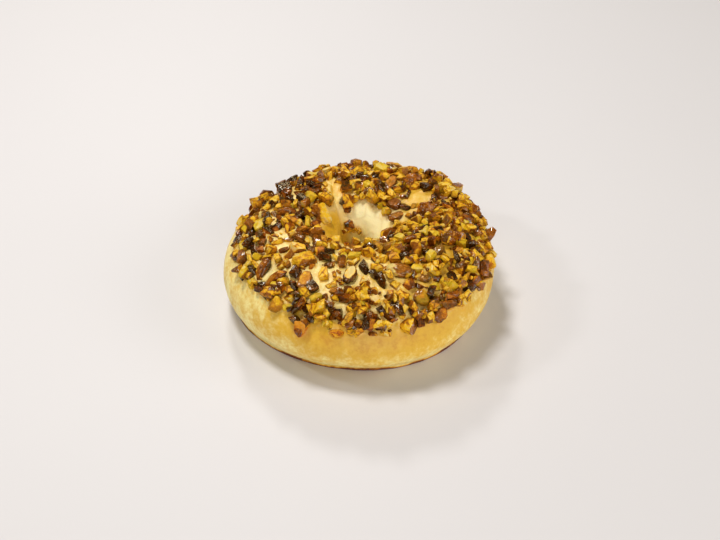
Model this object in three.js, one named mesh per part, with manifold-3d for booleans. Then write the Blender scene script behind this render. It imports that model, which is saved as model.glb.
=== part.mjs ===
// A bagel: one ring of baked dough whose top was pressed into chopped toasted nuts.
// Millimetres, +Z up, with the origin on the flat base under the middle of the ring.

import * as THREE from 'three';
import Module from 'manifold-3d';
import { ParametricGeometry } from 'three/addons/geometries/ParametricGeometry.js';
import { mergeVertices } from 'three/addons/utils/BufferGeometryUtils.js';

const { clamp, degToRad, lerp, radToDeg, smoothstep } = THREE.MathUtils;
const FULL_TURN = 2 * Math.PI;

// The ring's section: distances from the ring's axis and heights above its base
const OUTER_RADIUS = 53.2;
const CROWN_RADIUS = 29;
const HOLE_RADIUS = 5.8;
const BASE_RADIUS = 26;
const CROWN_HEIGHT = 31.9;
const EDGE_HEIGHT = 13.9;
const WAIST_HEIGHT = 11;
const BASE_SINK = 2.6;
const OUTER_FULLNESS = 2.15;
const HOLE_FULLNESS = 2;
const BASE_FULLNESS = 2.4;

// The flank, from the outer edge down to the thin lip of the foot, most drawn in at the front and back
const FOOT_INSET = 7.2;
const FOOT_SWING = 2.85;
const FOOT_LIP = 1.2;
const FLANK_EASE = 0.85;

// How a ring rolled by hand departs from a true one
const HOLE_SHIFT = new THREE.Vector2(-0.8, 11);
const THIN_SIDE = 0.07;
const TOP_LEAN = 1.6;
const SWELL_REACH = 0.2;
const SWELLS = [
  { waves: 2, size: 0.6, peak: 29.5 },
  { waves: 3, size: 0.97, peak: 52.5 },
];

// The lap where one end of the rolled dough lies over the other, by bearing and section angle
const LAP_RISE = 2;
const LAP_EDGE = 5;
const LAP_FADE = { from: 25, to: 80 };
const LAP_TOP = { from: 80, to: 105 };
const LAP_FOOT = { from: 140, to: 165 };
const SEAM_BEARING = 112;
const SEAM_ANGLE = 84;
const SEAM_SLANT = 0.36;
const SEAM_BEND_ANGLE = 112;
const SEAM_BEND = 0.01;

// Facets of the dough
const COLUMNS = 40;
const ROWS = 18;

// The band of nuts, as section angles: 0 is the outer edge, 90 the crown, 180 the hole's waist
const NUTS_OUTER_ANGLE = 35;
const NUTS_OUTER_SWING = 4;
const NUTS_OUTER_LOW_BEARING = 335;
const NUTS_RAGGED = 3;
const NUTS_RAGGED_WAVES = 5;
const NUTS_INNER_ANGLE = 124;
const NUTS_INNER_SWING = 12;
const NUTS_INNER_HIGH_BEARING = 140;
const SEAM_STRIP = 3.2;
const SEAM_STRIP_ANGLES = { from: 80, to: 135 };

// The chopped pieces, the largest laid first; heights are above the dough
const SEED = 20731;
const RIM_CORNERS = 4;
const DRAWS_FOR_SIZE = 6;
const DRAWS_FOR_SHAPE = 3 + 2 * RIM_CORNERS;
const CANDIDATES = 4500;
const LARGEST = 7.2;
const SMALLEST = 3.8;
const SIZE_SPREAD = 0.12;
const BREADTH = { from: 0.5, to: 0.88 };
const TALLNESS = { from: 0.48, to: 0.76 };
const TILT_LIMIT = 46;
const RIM_REACH = { from: 0.62, to: 1 };
const RIM_HEIGHT = { from: 0.45, to: 1.05 };
const PEAK_HEIGHT = { from: 0.86, to: 1.12 };
const ROOT_DEPTH = 6;
const KERNEL_SIDES = 5;
const KERNEL_RINGS = 3;
const KERNEL_LIFT = 0.35;
const KERNEL_FULLNESS = 1.1;
const SPACING = 0.8;
const SPARSE_SPACING = 0.12;
const SPARSE_BEARING = 240;
const SPARSE_ANGLES = { from: 48, to: 60 };

// Places that no piece covers: bearing, section angle and radius in millimetres
const BARE_SPOTS = [
  [252, 88, 4.2],
  [232, 76, 3.4],
  [240, 84, 3.6],
  [284, 92, 3.2],
  [276, 62, 4],
  [318, 62, 4],
  [200, 84, 4],
  [33, 89, 4.6],
  [176, 78, 2.8],
];

// Pieces that stand out: bearing, section angle, length, breadth, height, heading from above
const LANDMARKS = [
  [272, 90, 8.6, 4.2, 3.2, -69],
  [281, 76, 8.4, 4, 3, -66],
  [295, 82, 10.2, 6.4, 3.8, -12],
  [296, 69, 6.6, 5, 3.2, 40],
  [307, 68, 4.8, 3.4, 2.2, 0],
  [262, 83, 8.2, 4.8, 2.6, 73],
  [236, 68, 8, 5, 2.6, 65],
  [245, 77, 7.4, 5.4, 3.2, 90],
  [228, 70, 5.6, 4.2, 3.4, 60],
  [242, 64, 5.6, 4.6, 3.2, -55],
  [210, 55, 9.8, 4.6, 3.2, 44],
  [220, 57, 10.2, 4.6, 3.2, 22],
  [258, 63, 8.6, 6, 4, -10],
  [226, 83, 8.6, 6, 3.6, 20],
  [257, 47, 5.8, 5, 3.6, 0],
  [229, 38, 5.2, 4.4, 3.2, 20],
  [243, 26, 5.6, 4.6, 2.6, 60],
  [259, 29, 7.4, 4, 2.4, -15],
  [273, 43, 6.6, 5.6, 4, 80],
  [289, 35, 7, 5.6, 3.8, 60],
  [305, 34, 6, 4.6, 3.2, 70],
  [299, 54, 5.6, 5, 3.6, 0],
  [349, 33, 4.8, 4.4, 3.2, 0],
  [16, 98, 6.2, 5.6, 3.8, 0],
  [66, 91, 8.4, 4.4, 3.2, 70],
  [73, 49, 7.2, 5.6, 4, 0],
  [88, 50, 5.2, 4.4, 4, 30],
  [58, 68, 7, 4.2, 3, 5],
  [134, 44, 7, 5.6, 4, 10],
  [143, 41, 6.4, 5, 4, 60],
  [168, 68, 6, 4.6, 2.8, 15],
  [167, 88, 8.4, 4.2, 3, -8],
  [165, 118, 7.8, 5.4, 3.4, -50],
  [107, 119, 7, 5.4, 3.6, 100],
  [107, 101, 5.6, 5, 3.6, 30],
  [122, 148, 5, 4, 2.6, 20],
  [43, 116, 6.6, 4.8, 3, -40],
  [22, 125, 7, 3.8, 2.4, 28],
  [350, 140, 7.2, 3.8, 2.6, 15],
  [195, 46, 7, 4.6, 3.2, 73],
  [330, 79, 6.4, 5, 3.2, 20],
];

/** Share of the way from one angle to another, eased at both ends. */
function ease(value, span) {
  return smoothstep(value, span.from, span.to);
}

/** Value between the ends of a span. */
function within(span, share) {
  return lerp(span.from, span.to, share);
}

/** Repeatable numbers between 0 and 1. */
function seededDraw(seed) {
  const modulus = 2147483647;
  const multiplier = 48271;
  let state = seed;
  return () => {
    state = (state * multiplier) % modulus;
    return state / modulus;
  };
}

/** Bearing of the dough's lap at a section angle, both in degrees. */
function seamBearing(angle) {
  const bend = Math.max(0, angle - SEAM_BEND_ANGLE);
  return SEAM_BEARING + SEAM_SLANT * (angle - SEAM_ANGLE) + SEAM_BEND * bend * bend;
}

/** How far the lap stands up from the ring at a bearing and section angle. */
function lapRise(bearing, theta) {
  const angle = radToDeg(theta);
  const past = radToDeg(bearing) - seamBearing(angle);
  const along = ease(past, { from: -LAP_EDGE, to: LAP_EDGE }) * (1 - ease(past, LAP_FADE));
  const around = ease(angle, LAP_TOP) * (1 - ease(angle, LAP_FOOT));
  return LAP_RISE * along * around;
}

/** How far the outer edge swells at a bearing. */
function edgeSwell(bearing) {
  return SWELLS.reduce(
    (sum, { waves, size, peak }) => sum + size * Math.cos(waves * (bearing - degToRad(peak))),
    0,
  );
}

/** Radius and height of the flank below the outer edge. */
function flankPoint(bearing, theta) {
  const height = EDGE_HEIGHT * (1 + Math.sin(theta));
  const share = Math.min(1, (EDGE_HEIGHT - height) / (EDGE_HEIGHT - FOOT_LIP));
  const inset = FOOT_INSET - FOOT_SWING * Math.cos(2 * bearing);
  return { radius: OUTER_RADIUS - inset * share * share * (1 + FLANK_EASE * (1 - share)), height };
}

/** Radius and height of the ring's section above the outer edge and in the hole. */
function sectionPoint(theta) {
  const across = Math.cos(theta);
  const up = Math.sin(theta);
  const isOuter = across >= 0;
  const isTop = up >= 0;
  const topFullness = isOuter ? OUTER_FULLNESS : HOLE_FULLNESS;
  const power = 2 / (isTop ? topFullness : BASE_FULLNESS);
  const middleRadius = isTop ? CROWN_RADIUS : BASE_RADIUS;
  const sideRadius = isOuter ? OUTER_RADIUS : HOLE_RADIUS;
  const sideHeight = isOuter ? EDGE_HEIGHT : WAIST_HEIGHT;
  const endHeight = isTop ? CROWN_HEIGHT : -BASE_SINK;
  return {
    radius: lerp(middleRadius, sideRadius, Math.abs(across) ** power),
    height: lerp(sideHeight, endHeight, Math.abs(up) ** power),
  };
}

/** Section angle at which the hole's wall reaches the surface that the ring stands on. */
function holeFootAngle() {
  const share = WAIST_HEIGHT / (WAIST_HEIGHT + BASE_SINK);
  return Math.PI + Math.asin(share ** (BASE_FULLNESS / 2));
}

/** Point of the dough at a bearing round the ring and an angle round its section. */
function doughPoint(bearing, theta, target) {
  const isFlank = theta < 0;
  const section = isFlank ? flankPoint(bearing, theta) : sectionPoint(theta);
  const rise = lapRise(bearing, theta);
  const across = isFlank ? 1 : Math.cos(theta);
  const inward = (1 - across) / 2;
  const outward = clamp((across + SWELL_REACH) / (1 + SWELL_REACH), 0, 1);
  const radius = section.radius + outward * edgeSwell(bearing) + rise * Math.cos(theta);
  const thinning = 1 - THIN_SIDE * Math.sin(bearing);
  const height = Math.max(0, section.height + rise * Math.sin(theta)) * thinning;
  return target.set(
    radius * Math.cos(bearing) + inward * HOLE_SHIFT.x + TOP_LEAN * (height / CROWN_HEIGHT),
    radius * Math.sin(bearing) + inward * HOLE_SHIFT.y,
    height,
  );
}

/** Place on the dough with its outward direction. */
function doughPlace(bearing, theta) {
  const step = 1e-3;
  const point = doughPoint(bearing, theta, new THREE.Vector3());
  const along = doughPoint(bearing + step, theta, new THREE.Vector3()).sub(point);
  const around = doughPoint(bearing, theta + step, new THREE.Vector3()).sub(point);
  return { point, normal: along.cross(around).normalize() };
}

/** The dough as a closed ring: its last band of facets is the flat base. */
function doughGeometry() {
  const outerFoot = -Math.PI / 2;
  const innerFoot = holeFootAngle();
  const place = (u, v, target) => {
    const row = Math.round(v * ROWS) % ROWS;
    const isFoot = row === 0 || row === ROWS - 1;
    doughPoint(FULL_TURN * u, lerp(outerFoot, innerFoot, row / (ROWS - 1)), target);
    target.z = isFoot ? 0 : target.z;
  };
  return new ParametricGeometry(place, COLUMNS, ROWS);
}

/** Whether the nuts reach a bearing and section angle, given in degrees. */
function isInBand(bearing, angle) {
  const turn = degToRad(bearing);
  const outerSwing = NUTS_OUTER_SWING * Math.cos(turn - degToRad(NUTS_OUTER_LOW_BEARING));
  const innerSwing = NUTS_INNER_SWING * Math.cos(turn - degToRad(NUTS_INNER_HIGH_BEARING));
  const ragged = NUTS_RAGGED * Math.sin(NUTS_RAGGED_WAVES * turn);
  const outer = NUTS_OUTER_ANGLE - outerSwing + ragged;
  const inner = NUTS_INNER_ANGLE - innerSwing - ragged;
  return angle > outer && angle < inner;
}

/** Whether a place lies on the strip that the dough's lap keeps bare. */
function isOnSeam(bearing, angle) {
  const { from, to } = SEAM_STRIP_ANGLES;
  const offset = degToRad(bearing - seamBearing(angle)) * sectionPoint(degToRad(angle)).radius;
  return angle > from && angle < to && Math.abs(offset) < SEAM_STRIP;
}

/** One chopped piece from its place, its size and the numbers drawn for its shape. */
function makePiece(bearing, angle, length, breadth, height, heading, draws) {
  const [tilt, tiltHeading, peak, ...rim] = draws;
  return {
    sparse: ease(angle, SPARSE_ANGLES) * Math.max(0, Math.cos(degToRad(bearing - SPARSE_BEARING))),
    place: doughPlace(degToRad(bearing), degToRad(angle)),
    size: new THREE.Vector3(length / 2, breadth / 2, height),
    reach: (length + breadth) / 4,
    heading: degToRad(heading),
    tilt: degToRad(TILT_LIMIT) * tilt * tilt,
    tiltHeading: FULL_TURN * tiltHeading,
    peak: within(PEAK_HEIGHT, peak),
    rimReach: rim.slice(0, RIM_CORNERS).map((share) => within(RIM_REACH, share)),
    rimHeight: rim.slice(RIM_CORNERS).map((share) => within(RIM_HEIGHT, share)),
  };
}

/** A piece that stands out: a rounded kernel or the half of one. */
function landmarkPiece(landmark, draws) {
  return { ...makePiece(...landmark, draws.slice(DRAWS_FOR_SIZE)), isKernel: true };
}

/** An angular piece thrown at random on the band, or null where the band is bare. */
function thrownPiece(draws, progress) {
  const [turn, around, stretch, breadthShare, heightShare, headingShare] = draws;
  const bearing = 360 * turn;
  const lowest = NUTS_OUTER_ANGLE - NUTS_OUTER_SWING;
  const angle = lerp(lowest, NUTS_INNER_ANGLE + NUTS_INNER_SWING, around);
  if (!isInBand(bearing, angle) || isOnSeam(bearing, angle)) return null;
  const spread = 1 + SIZE_SPREAD * (2 * stretch - 1);
  const length = lerp(LARGEST, SMALLEST, Math.sqrt(progress)) * spread;
  const breadth = length * within(BREADTH, breadthShare);
  const height = breadth * within(TALLNESS, heightShare);
  const heading = 360 * headingShare;
  return makePiece(bearing, angle, length, breadth, height, heading, draws.slice(DRAWS_FOR_SIZE));
}

/** Whether a thrown piece is clear of the bare spots and of the pieces already laid. */
function isClear(piece, bareSpots, laid) {
  const { point } = piece.place;
  const spacing = SPACING + SPARSE_SPACING * piece.sparse;
  const missesSpot = (spot) => spot.point.distanceTo(point) > spot.radius + piece.reach / 2;
  const missesPiece = ({ place, reach }) => place.point.distanceTo(point) > spacing * (reach + piece.reach);
  return bareSpots.every(missesSpot) && laid.every(missesPiece);
}

/** All the pieces: those that stand out, then the thrown ones that find room. */
function layPieces() {
  const draw = seededDraw(SEED);
  const drawSet = () => Array.from({ length: DRAWS_FOR_SIZE + DRAWS_FOR_SHAPE }, draw);
  const laid = LANDMARKS.map((landmark) => landmarkPiece(landmark, drawSet()));
  const bareSpots = BARE_SPOTS.map(([bearing, angle, radius]) => ({
    point: doughPlace(degToRad(bearing), degToRad(angle)).point,
    radius,
  }));
  for (let count = 0; count < CANDIDATES; count += 1) {
    const piece = thrownPiece(drawSet(), count / CANDIDATES);
    if (piece && isClear(piece, bareSpots, laid)) laid.push(piece);
  }
  return laid;
}

/** Turn of a piece, from its own length, breadth and height to where it lies. */
function pieceTurn(piece) {
  const { normal } = piece.place;
  const ahead = new THREE.Vector3(Math.cos(piece.heading), Math.sin(piece.heading), 0);
  const side = new THREE.Vector3().crossVectors(normal, ahead).normalize();
  const along = new THREE.Vector3().crossVectors(side, normal);
  const tiltAxis = new THREE.Vector3(Math.cos(piece.tiltHeading), Math.sin(piece.tiltHeading), 0);
  const tilted = new THREE.Matrix4().makeRotationAxis(tiltAxis, piece.tilt);
  return new THREE.Matrix4().makeBasis(along, side, normal).multiply(tilted);
}

/** A kernel in its own unit block: a rounded body that stands a little out of the dough. */
function kernelGeometry() {
  const halfHeight = 1 / (1 + KERNEL_LIFT);
  const geometry = new THREE.SphereGeometry(1, KERNEL_SIDES, KERNEL_RINGS);
  geometry.rotateX(Math.PI / 2);
  geometry.scale(KERNEL_FULLNESS, KERNEL_FULLNESS, halfHeight);
  return geometry.translate(0, 0, 1 - halfHeight);
}

/** A chopped block in its own unit block: an uneven top on four sides that taper to a root. */
function blockGeometry(piece) {
  const geometry = new THREE.ConeGeometry(Math.SQRT2, 1, RIM_CORNERS);
  geometry.rotateX(-Math.PI / 2).rotateZ(Math.PI / RIM_CORNERS);
  const corners = geometry.attributes.position;
  const corner = new THREE.Vector3();
  for (let index = 0; index < corners.count; index += 1) {
    corner.fromBufferAttribute(corners, index);
    const isRim = Math.hypot(corner.x, corner.y) > 1;
    if (isRim) {
      const side = (corner.x > 0 ? 1 : 0) + (corner.y > 0 ? 2 : 0);
      corner.set(Math.sign(corner.x), Math.sign(corner.y), 0).multiplyScalar(piece.rimReach[side]);
      corner.z = piece.rimHeight[side];
    } else {
      corner.set(0, 0, corner.z < 0 ? -ROOT_DEPTH : piece.peak);
    }
    corners.setXYZ(index, ...corner);
  }
  return geometry;
}

/** A piece where it lies on the dough. */
function pieceGeometry(piece) {
  const geometry = piece.isKernel ? kernelGeometry() : blockGeometry(piece);
  const { x, y, z } = piece.size;
  return geometry.scale(x, y, z).applyMatrix4(pieceTurn(piece).setPosition(piece.place.point));
}

/** A closed solid from a geometry. */
function toSolid(wasm, geometry) {
  geometry.deleteAttribute('normal');
  geometry.deleteAttribute('uv');
  const merged = mergeVertices(geometry);
  const mesh = new wasm.Mesh({
    numProp: 3,
    vertProperties: new Float32Array(merged.attributes.position.array),
    triVerts: new Uint32Array(merged.index.array),
  });
  return new wasm.Manifold(mesh);
}

/** A geometry from a solid. */
function toGeometry(solid) {
  const { vertProperties, triVerts } = solid.getMesh();
  const geometry = new THREE.BufferGeometry();
  geometry.setAttribute('position', new THREE.BufferAttribute(vertProperties, 3));
  geometry.setIndex(new THREE.BufferAttribute(triVerts, 1));
  geometry.computeVertexNormals();
  return geometry;
}

/** The dough and its nuts as one body, without sealed hollows or loose scraps. */
async function bagelGeometry() {
  const wasm = await Module();
  wasm.setup();
  const dough = toSolid(wasm, doughGeometry());
  const nuts = layPieces().map((piece) => toSolid(wasm, pieceGeometry(piece)));
  const joined = nuts.reduce((body, nut) => body.add(nut), dough);
  const isLarger = (body, other) => body.volume() > other.volume();
  const whole = joined.decompose().reduce((largest, body) => (isLarger(body, largest) ? body : largest));
  return toGeometry(whole);
}

const crust = new THREE.MeshStandardMaterial({ color: 0xd9ab4e, roughness: 0.6, metalness: 0 });

const bagel = new THREE.Mesh(await bagelGeometry(), crust);
bagel.name = 'bagel';

const part = new THREE.Group();
part.add(bagel);

export default part;
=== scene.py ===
"""A bagel whose top was pressed into chopped toasted nuts: its dough, its nuts and a plain studio."""

import logging
import math
from dataclasses import dataclass, field, replace
from enum import Enum
from itertools import combinations

import bmesh
import bpy
import numpy as np
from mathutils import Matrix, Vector, noise


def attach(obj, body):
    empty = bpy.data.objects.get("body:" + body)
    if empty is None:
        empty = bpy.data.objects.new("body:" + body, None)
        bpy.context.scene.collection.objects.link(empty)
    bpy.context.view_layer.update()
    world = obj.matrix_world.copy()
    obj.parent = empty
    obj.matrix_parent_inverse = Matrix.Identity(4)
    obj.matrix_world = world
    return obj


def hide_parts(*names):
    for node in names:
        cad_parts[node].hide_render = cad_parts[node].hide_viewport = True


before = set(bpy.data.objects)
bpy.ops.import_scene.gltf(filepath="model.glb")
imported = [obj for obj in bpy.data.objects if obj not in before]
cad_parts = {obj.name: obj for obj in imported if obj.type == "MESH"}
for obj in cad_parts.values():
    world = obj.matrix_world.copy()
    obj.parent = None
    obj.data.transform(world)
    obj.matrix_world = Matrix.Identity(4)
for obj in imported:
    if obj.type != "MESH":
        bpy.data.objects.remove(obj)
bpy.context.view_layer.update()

LOG = logging.getLogger("bagel")
Array = np.ndarray
Chance = np.random.Generator
Span = tuple[float, float]
Spot = tuple[float, float]
Triple = tuple[float, float, float]
Colour = Triple

MILLIMETRE = 0.001
FULL_TURN = 2.0 * math.pi
BODY = "root"
NODE = "bagel"
KEY_STEP = 7.31
LEAST_SPREAD = 1e-5
CUT_TOLERANCE = 1e-6
FACE_TOLERANCE = 1e-4


def mix(low: Array | float, high: Array | float, share: Array | float) -> Array | float:
    """Value that lies a share of the way from low to high."""
    return low + (high - low) * share


def ease(value: Array | float, low: float, high: float) -> Array | float:
    """Share of the way from low to high, eased at both ends."""
    share = np.clip((value - low) / (high - low), 0.0, 1.0)
    return share * share * (3.0 - 2.0 * share)


def unit(vector: Array) -> Array:
    """Vector, or each of a row of vectors, at length one."""
    return vector / np.linalg.norm(vector, axis=-1, keepdims=True)


def ripple(points: Array, pitch: float, key: float) -> Array:
    """Smooth random heights over points.

    Args:
        points: Places, one a row.
        pitch: Distance from one bump to the next, in the points' own units.
        key: Number that gives this row of bumps and no other.

    Returns:
        One height between about -1 and 1 for each point.
    """
    shifted = (points / pitch + KEY_STEP * key).tolist()
    return np.array([noise.noise(place) for place in shifted])


def paint(red: int, green: int, blue: int) -> Colour:
    """Colour for the shaders from its display values of 0 to 255."""
    shares = np.array([red, green, blue]) / 255.0
    linear = np.where(shares <= 0.04045, shares / 12.92, ((shares + 0.055) / 1.055) ** 2.4)
    return (float(linear[0]), float(linear[1]), float(linear[2]))


@dataclass(frozen=True)
class Side:
    """A side of the ring, soft at its ends.

    Attributes:
        middle: Bearing of its middle, in degrees.
        end: Cosine of the turn from the middle at which it ends.
        whole: Cosine of the turn at which it is whole.
    """

    middle: float
    end: float
    whole: float

    def share(self, bearing: Array | float) -> Array | float:
        """Share of the side at bearings in radians."""
        return ease(np.cos(bearing - math.radians(self.middle)), self.end, self.whole)


@dataclass
class Draws:
    """Repeatable numbers between 0 and 1, the same ones that shape the solid."""

    state: int = 20731
    multiplier: int = 48271
    modulus: int = 2147483647

    def take(self, count: int) -> list[float]:
        """Next numbers of the row.

        Args:
            count: How many to take.

        Returns:
            That many numbers.
        """
        taken = []
        for _ in range(count):
            self.state = self.state * self.multiplier % self.modulus
            taken.append(self.state / self.modulus)
        return taken


@dataclass(frozen=True)
class DoughForm:
    """The ring's form in millimetres: distances from its axis and heights above its base."""

    outer_radius: float = 53.2
    crown_radius: float = 29.0
    hole_radius: float = 5.8
    base_radius: float = 26.0
    crown_height: float = 31.9
    edge_height: float = 13.9
    waist_height: float = 11.0
    base_sink: float = 2.6
    outer_fullness: float = 2.15
    hole_fullness: float = 2.0
    base_fullness: float = 2.4
    foot_inset: float = 7.2
    foot_swing: float = 2.85
    foot_lip: float = 1.2
    flank_ease: float = 0.85
    hole_shift: Span = (-0.8, 11.0)
    thin_side: float = 0.07
    top_lean: float = 1.6
    swell_reach: float = 0.2
    swells: tuple[tuple[int, float, float], ...] = ((2, 0.6, 29.5), (3, 0.97, 52.5))
    lap_rise: float = 2.0
    lap_edge: float = 5.0
    lap_fade: Span = (25.0, 80.0)
    lap_top: Span = (80.0, 105.0)
    lap_foot: Span = (140.0, 165.0)
    seam_bearing_at_crown: float = 112.0
    seam_angle: float = 84.0
    seam_slant: float = 0.36
    seam_bend_angle: float = 112.0
    seam_bend: float = 0.01

    def seam_bearing(self, angle: Array | float) -> Array | float:
        """Bearing of the dough's lap at a section angle, both in degrees."""
        bend = np.maximum(0.0, angle - self.seam_bend_angle)
        slant = self.seam_slant * (angle - self.seam_angle)
        return self.seam_bearing_at_crown + slant + self.seam_bend * bend * bend

    def flank(self, bearing: Array, theta: Array) -> tuple[Array, Array]:
        """Radius and height of the flank below the outer edge.

        Args:
            bearing: Angles round the ring.
            theta: Angles round its section, below zero.

        Returns:
            The distances from the ring's axis and the heights above its base.
        """
        height = self.edge_height * (1.0 + np.minimum(0.0, np.sin(theta)))
        share = np.minimum(1.0, (self.edge_height - height) / (self.edge_height - self.foot_lip))
        inset = self.foot_inset - self.foot_swing * np.cos(2.0 * bearing)
        return self.outer_radius - inset * share * share * (1.0 + self.flank_ease * (1.0 - share)), height

    def section(self, theta: Array) -> tuple[Array, Array]:
        """Radius and height of the ring's section above the outer edge and in the hole.

        Args:
            theta: Angle round the section, from the outer edge over the crown to the hole.

        Returns:
            The distances from the ring's axis and the heights above its base.
        """
        across, up = np.cos(theta), np.sin(theta)
        is_outer, is_top = across >= 0.0, up >= 0.0
        top_fullness = np.where(is_outer, self.outer_fullness, self.hole_fullness)
        power = 2.0 / np.where(is_top, top_fullness, self.base_fullness)
        middle = np.where(is_top, self.crown_radius, self.base_radius)
        side = np.where(is_outer, self.outer_radius, self.hole_radius)
        side_height = np.where(is_outer, self.edge_height, self.waist_height)
        end_height = np.where(is_top, self.crown_height, -self.base_sink)
        radius = mix(middle, side, np.abs(across) ** power)
        return radius, mix(side_height, end_height, np.abs(up) ** power)

    def lap(self, bearing: Array, theta: Array) -> Array:
        """How far the lap stands up from the ring at bearings and section angles."""
        angle = np.degrees(theta)
        past = np.degrees(bearing) - self.seam_bearing(angle)
        along = ease(past, -self.lap_edge, self.lap_edge) * (1.0 - ease(past, *self.lap_fade))
        return self.lap_rise * along * ease(angle, *self.lap_top) * (1.0 - ease(angle, *self.lap_foot))

    def hole_foot_angle(self) -> float:
        """Section angle at which the hole's wall reaches the surface the ring stands on."""
        share = self.waist_height / (self.waist_height + self.base_sink)
        return math.pi + math.asin(share ** (self.base_fullness / 2.0))

    def point(self, bearing: Array, theta: Array) -> Array:
        """Points of the dough.

        Args:
            bearing: Angles round the ring.
            theta: Angles round its section.

        Returns:
            One point a row.
        """
        is_flank = theta < 0.0
        radius, height = np.where(is_flank, self.flank(bearing, theta), self.section(theta))
        rise = self.lap(bearing, theta)
        across = np.where(is_flank, 1.0, np.cos(theta))
        inward = (1.0 - across) / 2.0
        outward = np.clip((across + self.swell_reach) / (1.0 + self.swell_reach), 0.0, 1.0)
        swell = sum(
            size * np.cos(waves * (bearing - math.radians(peak))) for waves, size, peak in self.swells
        )
        radius = radius + outward * swell + rise * np.cos(theta)
        thinning = 1.0 - self.thin_side * np.sin(bearing)
        height = np.maximum(0.0, height + rise * np.sin(theta)) * thinning
        lean = self.top_lean * height / self.crown_height
        x = radius * np.cos(bearing) + inward * self.hole_shift[0] + lean
        y = radius * np.sin(bearing) + inward * self.hole_shift[1]
        return np.stack([x, y, height], axis=-1)

    def place(self, bearing: Array, theta: Array) -> tuple[Array, Array]:
        """Points of the dough with the directions that lead out of it.

        Args:
            bearing: Angles round the ring.
            theta: Angles round its section.

        Returns:
            The points and the outward directions, one a row.
        """
        step = 1e-3
        here = self.point(bearing, theta)
        along = self.point(bearing + step, theta) - here
        around = self.point(bearing, theta + step) - here
        return here, unit(np.cross(along, around))


@dataclass(frozen=True)
class NutBand:
    """Where the nuts lie, as section angles in degrees: 0 is the outer edge, 90 the crown."""

    form: DoughForm
    outer_angle: float = 35.0
    outer_swing: float = 4.0
    outer_low_bearing: float = 335.0
    ragged: float = 3.0
    ragged_waves: int = 5
    inner_angle: float = 124.0
    inner_swing: float = 12.0
    inner_high_bearing: float = 140.0
    seam_strip: float = 3.2
    seam_strip_angles: Span = (80.0, 135.0)
    bare_spots: tuple[tuple[float, float, float], ...] = (
        (252, 88, 4.2),
        (232, 76, 3.4),
        (240, 84, 3.6),
        (284, 92, 3.2),
        (276, 62, 4.0),
        (318, 62, 4.0),
        (200, 84, 4.0),
        (33, 89, 4.6),
        (176, 78, 2.8),
    )

    def edges(self, bearing: Array | float) -> tuple[Array, Array]:
        """Outer and inner edge of the band at bearings in degrees, as section angles."""
        turn = np.radians(bearing)
        outer_swing = self.outer_swing * np.cos(turn - math.radians(self.outer_low_bearing))
        inner_swing = self.inner_swing * np.cos(turn - math.radians(self.inner_high_bearing))
        ragged = self.ragged * np.sin(self.ragged_waves * turn)
        return self.outer_angle - outer_swing + ragged, self.inner_angle - inner_swing - ragged

    def holds(self, bearing: float, angle: float) -> bool:
        """Whether the band reaches a bearing and section angle in degrees."""
        outer, inner = self.edges(bearing)
        return bool(outer < angle < inner)

    def seam_offset(self, bearing: Array | float, angle: Array | float) -> Array:
        """Distance from the dough's lap along the ring, in millimetres."""
        radius, _ = self.form.section(np.radians(angle))
        return np.radians(bearing - self.form.seam_bearing(angle)) * radius

    def keeps_bare(self, bearing: float, angle: float) -> bool:
        """Whether a place lies on the strip that the dough's lap keeps bare."""
        low, high = self.seam_strip_angles
        return bool(low < angle < high and abs(self.seam_offset(bearing, angle)) < self.seam_strip)


class NutShape(Enum):
    """How a piece came off its kernel."""

    CHOPPED = "chopped block"
    CUT_HALF = "half with its cut face up"
    SKIN_HALF = "half with its skin up"
    LUMP = "rounded lump"
    KNOT = "knot of small blocks"


@dataclass(frozen=True)
class NutLook:
    """How one kind of piece looks: its shape and how far it was toasted.

    Attributes:
        shape: How it came off its kernel.
        toast: Tone of the bare flesh, from 0, pale, to 1, dark brown.
        green: Share of green in the flesh.
        cover: Share of a half turn round the skin's middle that keeps its skin.
        burnt: Tone of the skin, from 0, light brown, to 1, black.
        skin_up: How far the skin's middle turns up from the side.
        red: Share of red in the flesh.
        crags: How rough its surface is.
    """

    shape: NutShape
    toast: float
    green: float = 0.0
    cover: float = 0.0
    burnt: float = 0.4
    skin_up: float = 0.5
    red: float = 0.0
    crags: float = 2.6


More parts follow.
